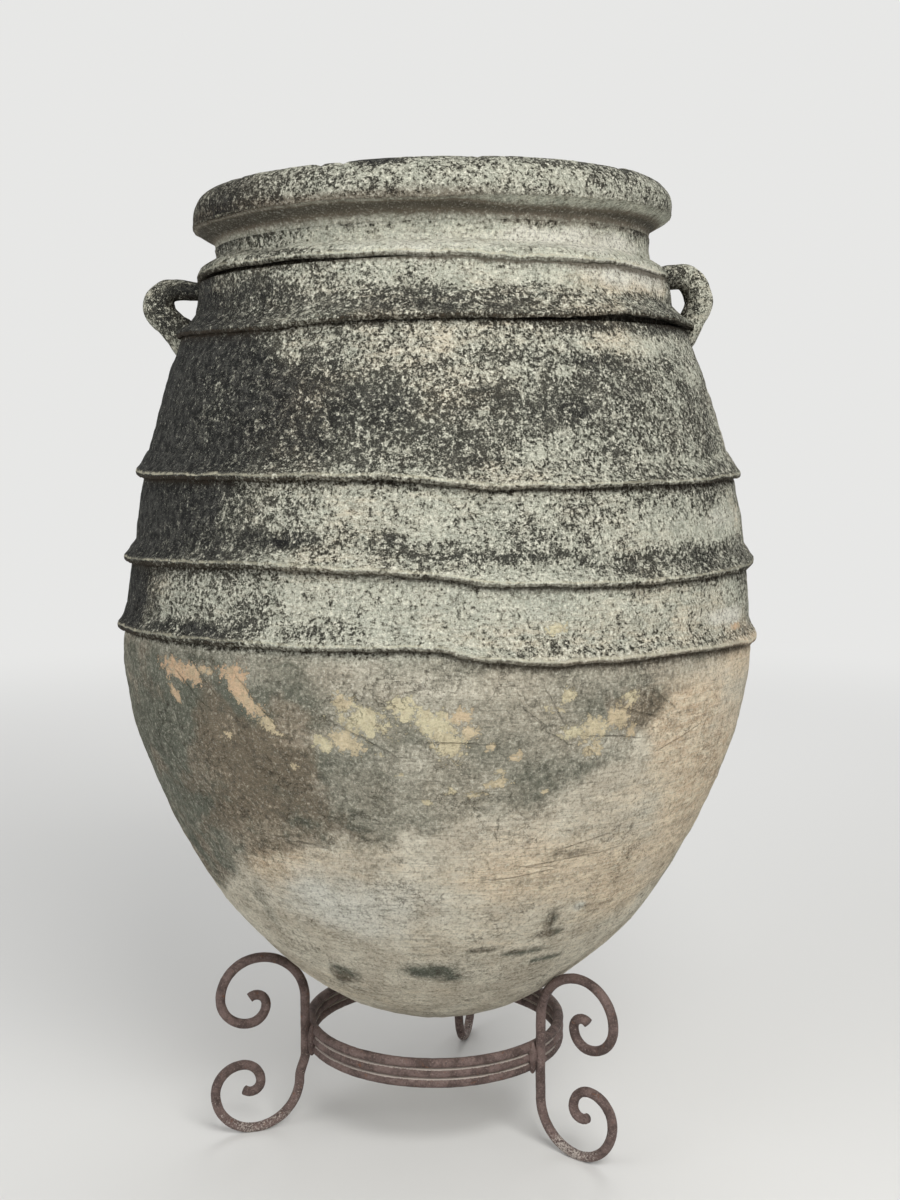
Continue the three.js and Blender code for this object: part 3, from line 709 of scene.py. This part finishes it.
def soft_path(points, count):
    """Catmull-Rom curve through a few points."""
    points = np.array(points, float)
    ends = np.vstack([2 * points[0] - points[1], points, 2 * points[-1] - points[-2]])
    out = []
    spans = len(points) - 1
    for t in np.linspace(0, spans, count):
        i = min(int(t), spans - 1)
        f = t - i
        a, b, c, d = ends[i:i + 4]
        out.append(0.5 * (2 * b + (c - a) * f + (2 * a - 5 * b + 4 * c - d) * f ** 2
                          + (3 * b - a - 3 * c + d) * f ** 3))
    return np.array(out)


# What most stain fields say all over a handle
HANDLE_FIELDS = {**INSIDE_FIELDS, "smoke": 0.0, "warm": 0.4, "brown": 0.0, "crusty": 1.0}


def bell(value, middle, width, power=2):
    """1 at the middle, falling off smoothly over the width on both sides."""
    return math.exp(-((value - middle) / width) ** power)


def handle(name, side, sign):
    top = CORDON_HEIGHTS[1] - HANDLE_TOP_DROP
    tail = CORDON_HEIGHTS[2] - HANDLE_TAIL_DROP[side]
    elbow = top - HANDLE_ELBOW_DROP
    reach = COLLAR_TOP_RADIUS + HANDLE_REACH[side] - HANDLE_THICKNESS / 2
    stops = [
        (COLLAR_TOP_RADIUS - HANDLE_ROOT, top),
        (reach - HANDLE_THICKNESS / 2, top),
        (reach, elbow),
        ((reach + SHOULDER_RADIUS) / 2, (elbow + tail) / 2),
        (float(wall_radius(tail)) - HANDLE_ROOT, tail),
    ]
    path = soft_path([(sign * r, 0, h) for r, h in stops], HANDLE_STEPS)
    angle = np.arange(HANDLE_SIDES) * 2 * math.pi / HANDLE_SIDES

    def section(i):
        t = i / (HANDLE_STEPS - 1)
        tail_root = bell(t, 1, 0.22)
        root = bell(t, 0, 0.16) + tail_root
        elbow_share = bell(t, 0.48, 0.20)
        wide = HANDLE_WIDTH / 2 * (1 + 0.28 * root - 0.05 * elbow_share)
        thick = HANDLE_THICKNESS / 2 * (1 + 0.10 * root + 0.20 * elbow_share)
        fillet = HANDLE_FILLET[side] * bell(t, 0.82, 0.10)
        inner = thick + fillet + HANDLE_FILL[side] * bell(t, 0.62, 0.30, 4)
        outer = thick + 0.0045 * tail_root - HANDLE_TOP_SLOPE[side] * bell(t, 0, 0.20)
        deep = np.where(np.cos(angle) > 0, inner, outer)
        return np.column_stack([deep * np.cos(angle), wide * np.sin(angle)])

    vertices, faces = sweep(path, (0, sign, 0), section)
    middle = np.repeat(path, HANDLE_SIDES, axis=0)
    out = vertices - middle
    lengths = np.linalg.norm(out, axis=1)[:, None]
    bumps = 0.0024 * layered(vertices, 0.030, 3, 271) + 0.0008 * noise(vertices, 0.009, 272)
    vertices = vertices + out / lengths * bumps[:, None]
    t = np.repeat(np.arange(len(path)) / (len(path) - 1), HANDLE_SIDES)
    facing_out = np.tile(-np.cos(angle), len(path))
    density = 0.60 + 0.4 * layered(vertices, 0.05, 3, 281) + 0.25 * smooth(0.3, 0.0, t)
    density = density - 0.22 * smooth(0.0, 0.8, facing_out) - (0.10 if sign > 0 else 0.0)
    fields = {key: np.full(len(vertices), value) for key, value in HANDLE_FIELDS.items()}
    # Painted shade on the faces turned in towards the hole
    fields.update(lichen=density, dirt=0.1 + 0.5 * smooth(0.2, 0.9, -facing_out))
    return add_mesh(name, settle(vertices), faces, fields)


# Stand

def scroll_path(start_height, sign):
    """Quarter arcs of falling radius from the stem outwards, as (radius, height)."""
    path = []
    x, z, inset = STEM_RADIUS, start_height, 0.0
    for i, size in enumerate(SCROLL_QUARTERS):
        radius = SCROLL_RADIUS * size
        start = math.pi - i * math.pi / 2
        x += (inset - radius) * math.cos(start)
        z += sign * (inset - radius) * math.sin(start)
        inset = radius
        turn = math.pi / 2 + (SCROLL_END_TURN if i == len(SCROLL_QUARTERS) - 1 else 0)
        count = max(6, round(radius * turn / SCROLL_STEP))
        for k in range(0 if i == 0 else 1, count + 1):
            angle = start - turn * k / count
            path.append((x + radius * math.cos(angle), z + sign * radius * math.sin(angle)))
    return path


def iron_bar(path, side, closed=False):
    """A pitted round bar along a path, with each point's direction out of the bar."""
    angle = np.arange(BAR_SIDES) * 2 * math.pi / BAR_SIDES
    circle = BAR_RADIUS * np.column_stack([np.cos(angle), np.sin(angle)])
    vertices, faces = sweep(path, side, lambda i: circle, closed)
    middle = np.repeat(np.array(path), BAR_SIDES, axis=0)
    out = (vertices - middle) / BAR_RADIUS
    rough = 0.00035 * layered(vertices, 0.02, 3, 301) + 0.0002 * noise(vertices, 0.005, 302)
    vertices = vertices + out * rough[:, None]
    vertices[:, 2] = np.maximum(vertices[:, 2], 0)
    return vertices, faces, out


def limewash(vertices):
    """Limewash and mortar splashes lie thickest near the floor."""
    return np.clip(0.75 - vertices[:, 2] / 0.16, 0.12, 1) + 0.25 * layered(vertices, 0.04, 2, 311)


def leg(name, azimuth, splay):
    """One bar with a scroll at each end. The lower scroll is bent out by its splay."""
    lower = [(r + splay, z) for r, z in scroll_path(LOWER_SCROLL_HEIGHT, -1)[::-1]]
    upper = scroll_path(UPPER_SCROLL_HEIGHT, 1)
    ring_foot = RING_STACK_HEIGHT - 1.5 * RING_PITCH
    heights = np.linspace(LOWER_SCROLL_HEIGHT, UPPER_SCROLL_HEIGHT, STEM_STEPS)[1:-1]
    bend = 1 - smooth(LOWER_SCROLL_HEIGHT, ring_foot, heights)
    stem = [(STEM_RADIUS + splay * b, z) for z, b in zip(heights, bend)]
    a = math.radians(azimuth)
    path = [(r * math.cos(a), r * math.sin(a), z) for r, z in lower + stem + upper]
    vertices, faces, _ = iron_bar(path, (-math.sin(a), math.cos(a), 0))
    return add_mesh(name, vertices, faces, {"lime": limewash(vertices)})


def ring(name, index):
    height = RING_STACK_HEIGHT + (index - 1) * RING_PITCH
    turn = np.radians(np.arange(RING_STEPS) * 360 / RING_STEPS)
    level = np.full(RING_STEPS, height)
    path = np.column_stack([RING_RADIUS * np.cos(turn), RING_RADIUS * np.sin(turn), level])
    vertices, faces, out = iron_bar(path, (0, 0, 1), closed=True)
    towards = out[:, 2] if index == 0 else -out[:, 2] if index == 2 else np.abs(out[:, 2])
    groove = smooth(0.66, 0.90, towards) * (0.85 + 0.4 * noise(vertices, 0.03, 321))
    lime = limewash(vertices) * 0.6 + 1.5 * groove
    return add_mesh(name, vertices, faces, {"lime": lime})


def weld(name, azimuth, side):
    """A run of lumpy weld metal between the stem and the rings."""
    low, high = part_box(name)
    rows, columns = 26, 20
    tilt = np.linspace(-math.pi / 2, math.pi / 2, rows)
    turn = np.arange(columns) * 2 * math.pi / columns
    height = (high.z - low.z) / 2
    points = np.vstack([
        np.column_stack([WELD_RADIUS * math.cos(t) * np.cos(turn), WELD_RADIUS * math.cos(t) * np.sin(turn),
                         np.full(columns, height * math.sin(t))]) for t in tilt
    ])
    a = math.radians(azimuth)
    radial = np.array([math.cos(a), math.sin(a), 0])
    across = np.array([-math.sin(a), math.cos(a), 0])
    middle = np.array([0, 0, (low.z + high.z) / 2])
    centre = radial * (RING_RADIUS + BAR_RADIUS) + across * side * WELD_SIDE + middle
    swell = 1 + 0.22 * noise(points + side, (0.02, 0.02, 0.006), 331)[:, None]
    vertices = centre + points * np.hstack([swell, swell, np.ones_like(swell)])
    faces = wrap_faces(rows, columns, False)
    return add_mesh(name + "_bead", vertices, faces, {"lime": limewash(vertices)})


# Materials

def tone(red, green, blue):
    """An 8-bit display colour as Blender's linear one."""
    parts = [c / 255 for c in (red, green, blue)]
    return tuple(c / 12.92 if c <= 0.04045 else ((c + 0.055) / 1.055) ** 2.4 for c in parts) + (1.0,)


class Shader:
    """Short calls for building the nodes of a material or a world."""

    def __init__(self, owner):
        owner.use_nodes = True
        self.owner = owner
        self.tree = owner.node_tree

    def fill(self, node, inputs):
        """Put a value or another node's output into each of the given inputs."""
        for key, value in inputs.items():
            if isinstance(value, bpy.types.NodeSocket):
                self.tree.links.new(value, node.inputs[key])
            else:
                node.inputs[key].default_value = value
        return node

    def node(self, kind, inputs):
        return self.fill(self.tree.nodes.new("ShaderNode" + kind), inputs)

    def field(self, name):
        node = self.node("Attribute", {})
        node.attribute_name = name
        return node.outputs["Fac"]

    def math(self, operation, a, b=0.0, clamp=False):
        node = self.node("Math", {0: a, 1: b})
        node.operation = operation
        node.use_clamp = clamp
        return node.outputs[0]

    def times(self, a, b):
        return self.math("MULTIPLY", a, b)

    def rest(self, a):
        """What is left of 1."""
        return self.math("SUBTRACT", 1.0, a)

    def stretched(self, scale, rotation=(0, 0, 0)):
        inputs = {"Vector": self.place, "Scale": scale, "Rotation": rotation}
        return self.node("Mapping", inputs).outputs[0]

    def noise(self, scale, detail, rough, vector=None, distortion=0.0):
        inputs = {"Scale": scale, "Detail": detail, "Roughness": rough, "Distortion": distortion}
        return self.node("TexNoise", {"Vector": vector or self.place, **inputs}).outputs["Fac"]

    def steps(self, value, low, high):
        """0 at low, 1 at high, smooth between and level beyond."""
        node = self.node("MapRange", {"Value": value, "From Min": low, "From Max": high})
        node.interpolation_type = "SMOOTHSTEP"
        return node.outputs[0]

    def mark(self, name, low, high):
        """Steps over one of the material's own patterns."""
        return self.steps(self.marks[name], low, high)

    def sway(self, value, **pushes):
        """A value pushed up and down by the material's patterns, each with its amount."""
        for name, amount in pushes.items():
            push = self.times(self.math("SUBTRACT", self.marks[name], 0.5), amount)
            value = self.math("ADD", value, push)
        return value

    def stain(self, name, low, high, **pushes):
        """Where a field is high, with an edge made ragged by patterns."""
        return self.steps(self.sway(self.field(name), **pushes), low, high)

    def mix(self, share, a, b):
        """From a to b, each an output or 8-bit red, green and blue."""
        node = self.tree.nodes.new("ShaderNodeMix")
        node.data_type = "RGBA"
        a, b = (tone(*colour) if isinstance(colour, tuple) else colour for colour in (a, b))
        return self.fill(node, {0: share, 6: a, 7: b}).outputs[2]

    def flecked(self, ground, *flecks):
        """A ground under flecks: a pattern's name, low and high, the flecks' strength and their colour."""
        for name, low, high, strength, colour in flecks:
            ground = self.mix(self.times(self.mark(name, low, high), strength), ground, colour)
        return ground

    def bump(self, height, distance, below=None):
        node = self.node("Bump", {"Height": height, "Distance": distance})
        if below:
            self.fill(node, {"Normal": below})
        return node.outputs[0]


def start_material(name):
    s = Shader(bpy.data.materials.new(name))
    s.place = s.node("TexCoord", {}).outputs["Object"]
    s.surface = s.tree.nodes["Principled BSDF"]
    return s


def clay_marks(s):
    """The patterns of the clay's marks, from sand grains to clouds."""
    slanted = s.stretched((1.0, 1.0, 3.4), (0, math.radians(24), 0))
    return {
        "fine": s.noise(560, 3, 0.7),
        "grain": s.noise(235, 5, 0.68),
        "blotch": s.noise(92, 8, 0.70),
        "mottle": s.noise(34, 8, 0.70),
        "cloud": s.noise(15, 6, 0.62),
        "strokes": s.noise(60, 5, 0.66, s.stretched((0.3, 0.3, 6.0))),
        "slant": s.noise(34, 6, 0.74, slanted, 0.4),
    }


def bare_clay(s, crusty, contrast):
    """Cream and pink on the bowl, pale grey above."""
    cream = s.mix(s.mark("cloud", 0.36, 0.64), (192, 182, 163), (219, 212, 193))
    grey = s.mix(s.mark("mottle", 0.36, 0.62), (162, 165, 151), (205, 206, 189))
    warm = s.mix(s.mark("slant", 0.36, 0.64), (202, 178, 149), (229, 214, 187))
    ground = s.mix(crusty, cream, grey)
    ground = s.mix(s.stain("warm", 0.30, 0.80, slant=0.9), ground, warm)
    ground = s.mix(s.stain("bleach", 0.30, 0.90, cloud=0.8), ground, (218, 216, 204))
    speckle = s.times(contrast, 0.52)
    return s.flecked(
        ground,
        ("strokes", 0.48, 0.66, 0.38, (122, 119, 106)),
        ("mottle", 0.50, 0.66, 0.30, (136, 129, 112)),
        ("blotch", 0.50, 0.62, speckle, (132, 127, 111)),
        ("blotch", 0.46, 0.36, speckle, (224, 221, 205)),
    )


def smoked(s, ground):
    """Smoke and grime on the lower body, with flecks of clean clay left in it."""
    soot = s.mix(s.stain("warm", 0.22, 0.62, cloud=2.4), (92, 97, 86), (108, 99, 84))
    soot = s.flecked(soot, ("blotch", 0.48, 0.64, 0.65, (70, 68, 60)))
    fleck = s.steps(s.sway(s.noise(130, 6, 0.66), cloud=0.5), 0.60, 0.72)
    smoke = s.math("MULTIPLY", s.sway(s.field("smoke"), blotch=1.3, grain=0.8), 1.0, clamp=True)
    smoke = s.times(smoke, s.math("SUBTRACT", 0.94, s.times(fleck, 0.42)))
    return s.mix(smoke, ground, soot), smoke


def grimed(s, ground):
    """A thin grey film wherever lichen has a hold, and brown over it: grime, and painted shade under the rim.
    """
    film = s.stain("lichen", -0.05, 0.65, mottle=1.4, grain=0.8)
    ground = s.mix(s.times(film, 0.55), ground, (124, 122, 108))
    brown = s.stain("brown", 0.05, 1.10, blotch=0.8, grain=0.4)
    grime_and_shade = s.mix(s.mark("fine", 0.4, 0.6), (84, 72, 60), (118, 106, 91))
    # Nearly black where the brown field is strongest: painted shade deep under the rim
    grime_and_shade = s.mix(s.stain("brown", 0.95, 1.65), grime_and_shade, (52, 42, 34))
    return s.mix(s.times(brown, 0.88), ground, grime_and_shade), brown


def flaked(s, ground):
    """Places where the skin came off."""
    flake = s.stain("flake", 0.10, 0.22, mottle=1.8, blotch=3.4, grain=2.4)
    fresh = s.mix(s.field("ochre"), (212, 203, 170), (210, 179, 147))
    mealy = s.times(s.steps(s.noise(95, 5, 0.65), 0.44, 0.60), 0.60)
    fresh = s.mix(mealy, fresh, (178, 165, 137))
    return s.mix(s.times(flake, 0.92), ground, fresh), flake


def sanded(s, ground, contrast, grime_and_shade, flake):
    """Coarse sand in the clay, dark and pale."""
    sand = s.times(contrast, s.rest(s.times(flake, 0.5)))
    clean = s.times(sand, s.rest(s.times(grime_and_shade, 0.6)))
    return s.flecked(
        ground,
        ("grain", 0.53, 0.64, sand, (96, 92, 80)),
        ("grain", 0.46, 0.35, clean, (232, 230, 213)),
        ("fine", 0.56, 0.68, sand, (92, 88, 77)),
        ("fine", 0.44, 0.32, clean, (228, 226, 210)),
    )


def crusted(s, ground, flake):
    """Black lichen crust, in blotches with pale clay left between them."""
    spread = s.stain("lichen", 0.38, 0.74, blotch=1.7, mottle=0.8, grain=1.9, fine=1.4)
    crust = s.times(spread, s.rest(flake))
    black = s.steps(s.sway(s.marks["fine"], blotch=1.2), 0.42, 0.56)
    lichen = s.mix(black, (74, 74, 71), (17, 18, 21))
    pale = s.steps(s.sway(s.noise(190, 3, 0.6), mottle=0.5), 0.66, 0.72)
    lichen = s.mix(pale, lichen, (150, 149, 138))
    cover = s.math("ADD", 0.73, s.times(s.stain("lichen", 0.45, 0.80), 0.23))
    return s.mix(s.times(crust, cover), ground, lichen), crust


def worn(s, ground, crusty):
    """Pale lips, a painted highlight with some wear, and dark marks: painted shade and dirt in creases, dirt in
    scratches and hairline cracks.
    """
    lip = s.stain("lip", 0.40, 0.85, blotch=1.9, grain=1.0)
    ground = s.mix(s.times(lip, 0.70), ground, (204, 199, 176))
    nearness = s.sway(s.math("ABSOLUTE", s.field("scratch")), grain=3.5, blotch=3.0)
    cut = s.steps(nearness, 1.4, 0.5)
    dirt = s.math("MAXIMUM", s.stain("dirt", 0.25, 0.95, grain=0.9), s.times(cut, 0.32))
    vein = s.math("ABSOLUTE", s.math("SUBTRACT", s.noise(24, 5, 0.66), 0.5))
    cracked = s.times(s.steps(s.noise(9, 3, 0.6), 0.48, 0.58), s.rest(crusty))
    crack = s.times(s.steps(vein, 0.009, 0.002), cracked)
    dirt = s.math("MAXIMUM", dirt, s.times(crack, 0.55))
    return s.mix(s.times(dirt, 0.82), ground, (64, 55, 44)), cut, crack


def fired_clay():
    s = start_material("fired_clay")
    s.marks = clay_marks(s)
    crusty = s.field("crusty")
    contrast = s.math("ADD", 0.44, s.times(crusty, 0.30))
    ground = bare_clay(s, crusty, contrast)
    ground, smoke = smoked(s, ground)
    ground, brown = grimed(s, ground)
    ground, flake = flaked(s, ground)
    ground = sanded(s, ground, contrast, s.math("MAXIMUM", smoke, brown), flake)
    ground, crust = crusted(s, ground, flake)
    ground, cut, crack = worn(s, ground, crusty)
    rough = None
    for name, depth in (("mottle", 0.006), ("grain", 0.0030), ("fine", 0.0012), ("strokes", 0.0014)):
        rough = s.bump(s.marks[name], depth, rough)
    sunk = s.times(s.math("ADD", s.math("ADD", flake, cut), crack), 1.8)
    s.fill(s.surface, {
        "Base Color": ground,
        "Roughness": s.math("ADD", 0.86, s.times(s.marks["grain"], 0.12)),
        "Specular IOR Level": 0.08,
        "Normal": s.bump(s.math("SUBTRACT", crust, sunk), 0.0010, rough),
    })
    return s.owner


def rusty_iron():
    s = start_material("rusty_iron")
    s.marks = {"grain": s.noise(360, 6, 0.75), "patch": s.noise(40, 6, 0.7)}
    ground = s.flecked(
        s.mix(s.mark("patch", 0.38, 0.62), (112, 95, 90), (76, 63, 59)),
        ("grain", 0.53, 0.68, 0.8, (146, 130, 123)),
        ("grain", 0.46, 0.34, 0.8, (52, 40, 38)),
    )
    ground = s.mix(s.steps(s.noise(110, 5, 0.7), 0.60, 0.70), ground, (112, 76, 56))
    lime = s.stain("lime", 0.66, 1.0, grain=2.4, patch=0.8)
    s.fill(s.surface, {
        "Base Color": s.mix(s.times(lime, 0.8), ground, (190, 181, 172)),
        "Metallic": 0.1,
        "Roughness": s.math("ADD", 0.6, s.times(s.marks["grain"], 0.3)),
        "Specular IOR Level": 0.3,
        "Normal": s.bump(s.noise(900, 4, 0.7), 0.0004, s.bump(s.marks["grain"], 0.0018)),
    })
    return s.owner


# Stage

BACKGROUND = (0.80, 0.80, 0.79, 1.0)
FLOOR_COLOUR = (0.62, 0.62, 0.61, 1.0)
FLOOR_RADIUS = 14
# Distances from the jar between which the floor fades into the background
FADE_START = 1.2
FADE_END = 5.0
WORLD_STRENGTH = 0.50
# Each lamp's place, aim, size, power and colour
LAMPS = {
    "key": ((1.1, -3.1, 3.2), (0, 0, 0.7), 2.2, 150, (1.0, 0.99, 0.97)),
    "fill": ((-3.2, -2.4, 1.8), (0, 0, 0.7), 2.6, 50, (0.98, 0.985, 1.0)),
    "rear": ((0.6, 3.2, 3.0), (0, 0, 0.8), 2.4, 60, (1.0, 1.0, 1.0)),
}


def add_floor():
    bpy.ops.mesh.primitive_circle_add(vertices=96, radius=FLOOR_RADIUS, fill_type="NGON")
    floor = bpy.context.active_object
    floor.name = "floor"
    s = start_material("pale_floor")
    s.fill(s.surface, {"Base Color": FLOOR_COLOUR, "Roughness": 0.9})
    glow = s.node("Emission", {"Color": BACKGROUND})
    length = s.node("VectorMath", {0: s.place})
    length.operation = "LENGTH"
    far = s.steps(length.outputs["Value"], FADE_START, FADE_END)
    blend = s.node("MixShader", {0: far, 1: s.surface.outputs[0], 2: glow.outputs[0]})
    s.fill(s.tree.nodes["Material Output"], {"Surface": blend.outputs[0]})
    floor.data.materials.append(s.owner)


def add_world():
    """White light from all round, with the plain background where it is looked at or mirrored."""
    world = bpy.data.worlds.new("studio")
    bpy.context.scene.world = world
    s = Shader(world)
    soft = s.fill(s.tree.nodes["Background"], {"Color": (1.0, 1.0, 1.0, 1.0), "Strength": WORLD_STRENGTH})
    seen = s.node("Background", {"Color": BACKGROUND, "Strength": 1.0})
    rays = s.node("LightPath", {}).outputs
    direct = s.math("MAXIMUM", rays["Is Camera Ray"], rays["Is Glossy Ray"])
    blend = s.node("MixShader", {0: direct, 1: soft.outputs[0], 2: seen.outputs[0]})
    s.fill(s.tree.nodes["World Output"], {"Surface": blend.outputs[0]})


def add_lamp(name, place, aim, size, power, colour):
    data = bpy.data.lights.new(name, "AREA")
    data.size = size
    data.energy = power
    data.color = colour
    lamp = bpy.data.objects.new(name, data)
    lamp.location = place
    lamp.rotation_euler = (Vector(aim) - Vector(place)).to_track_quat("-Z", "Y").to_euler()
    bpy.context.scene.collection.objects.link(lamp)


def add_camera():
    heading, tilt, roll = (math.radians(a) for a in (CAMERA_HEADING, CAMERA_TILT, CAMERA_ROLL))
    ahead = math.cos(tilt)
    forward = Vector((math.sin(heading) * ahead, math.cos(heading) * ahead, -math.sin(tilt)))
    level = Vector((math.cos(heading), -math.sin(heading), 0))
    down = forward.cross(level)
    right = level * math.cos(roll) - down * math.sin(roll)
    data = bpy.data.cameras.new("camera")
    data.sensor_width = 36
    data.lens = CAMERA_LENS
    camera = bpy.data.objects.new("camera", data)
    axes = Matrix((right, -forward.cross(right), -forward)).transposed()
    camera.matrix_world = Matrix.Translation(CAMERA_PLACE) @ axes.to_4x4()
    bpy.context.scene.collection.objects.link(camera)
    bpy.context.scene.camera = camera


# Assembly

def bowl(name, top):
    """The lower body, from its flat foot to the fifth cordon, with its floor inside."""
    foot = [(INNERMOST_RADIUS, 0.0), (FOOT_RADIUS - 0.03, 0.0), (FOOT_RADIUS - 0.012, 0.0012)]
    outer = foot + [(FOOT_RADIUS, 0.005)] + wall_line(0.012, top)
    floor = [(0.05, FLOOR_THICKNESS), (INNERMOST_RADIUS, FLOOR_THICKNESS)]
    inner = wall_line(FLOOR_THICKNESS + 0.015, top, 0.02, WALL)[::-1] + floor
    return skin(name, densify(outer, 0.012), inner, wall_shape, on_axis=True)


def course(name, bottom, top):
    inner = wall_line(bottom, top, INNER_STEP, WALL)[::-1]
    return skin(name, wall_line(bottom, top), inner, wall_shape)


def build_jar():
    clay = fired_clay()
    joints = {number: height + JOINT_ABOVE_CORDON for number, height in CORDON_HEIGHTS.items()}
    place(bowl("clay_lower_body", joints[5]), "jar", "lower_body", "bare_clay", clay)
    courses = [
        ("belly_course", joints[5], joints[4], "pale_clay"),
        ("middle_course", joints[4], joints[3], "weathered_clay"),
        ("upper_course", joints[3], CORDON_HEIGHTS[2] - SEAM, "weathered_clay"),
        ("collar_course", CORDON_HEIGHTS[2] + SEAM, COLLAR_TOP - SEAM, "weathered_clay"),
        ("neck", COLLAR_TOP + SEAM, NECK_TOP, "pale_clay"),
    ]
    for node, bottom, top, slot in courses:
        place(course("clay_" + node, bottom, top), "jar", node, slot, clay)
    for number in CORDON_HEIGHTS:
        slot = "pale_clay" if number == 1 else "weathered_clay"
        place(cordon(f"clay_cordon_{number}", number), "jar", f"cordon_{number}", slot, clay)
    outer, inner = rim_outline()
    rim = skin("clay_rim", densify(outer, ROW_STEP), inner, rim_shape)
    place(rim, "jar", "rim", "weathered_clay", clay)
    for side, sign in (("right", 1), ("left", -1)):
        piece = handle(f"clay_handle_{side}", side, sign)
        place(piece, "jar", f"handle_{side}", "weathered_clay", clay)


def build_stand():
    iron = rusty_iron()
    for i, name in enumerate(("back", "left", "right")):
        azimuth = BACK_LEG_AZIMUTH + i * 120
        place(leg(f"iron_leg_{name}", azimuth, LEG_SPLAY[name]), "stand", f"leg_{name}", "rusty_iron", iron)
        for letter, side in (("a", 1), ("b", -1)):
            node = f"weld_{name}_{letter}"
            place(weld(node, azimuth, side), "stand", node, "rusty_iron", iron)
    for i, name in enumerate(("lower", "middle", "upper")):
        place(ring(f"iron_ring_{name}", i), "stand", f"ring_{name}", "rusty_iron", iron)


build_jar()
build_stand()
add_floor()
add_world()
for lamp_name, settings in LAMPS.items():
    add_lamp(lamp_name, *settings)
add_camera()
bpy.context.scene.view_settings.view_transform = "Standard"
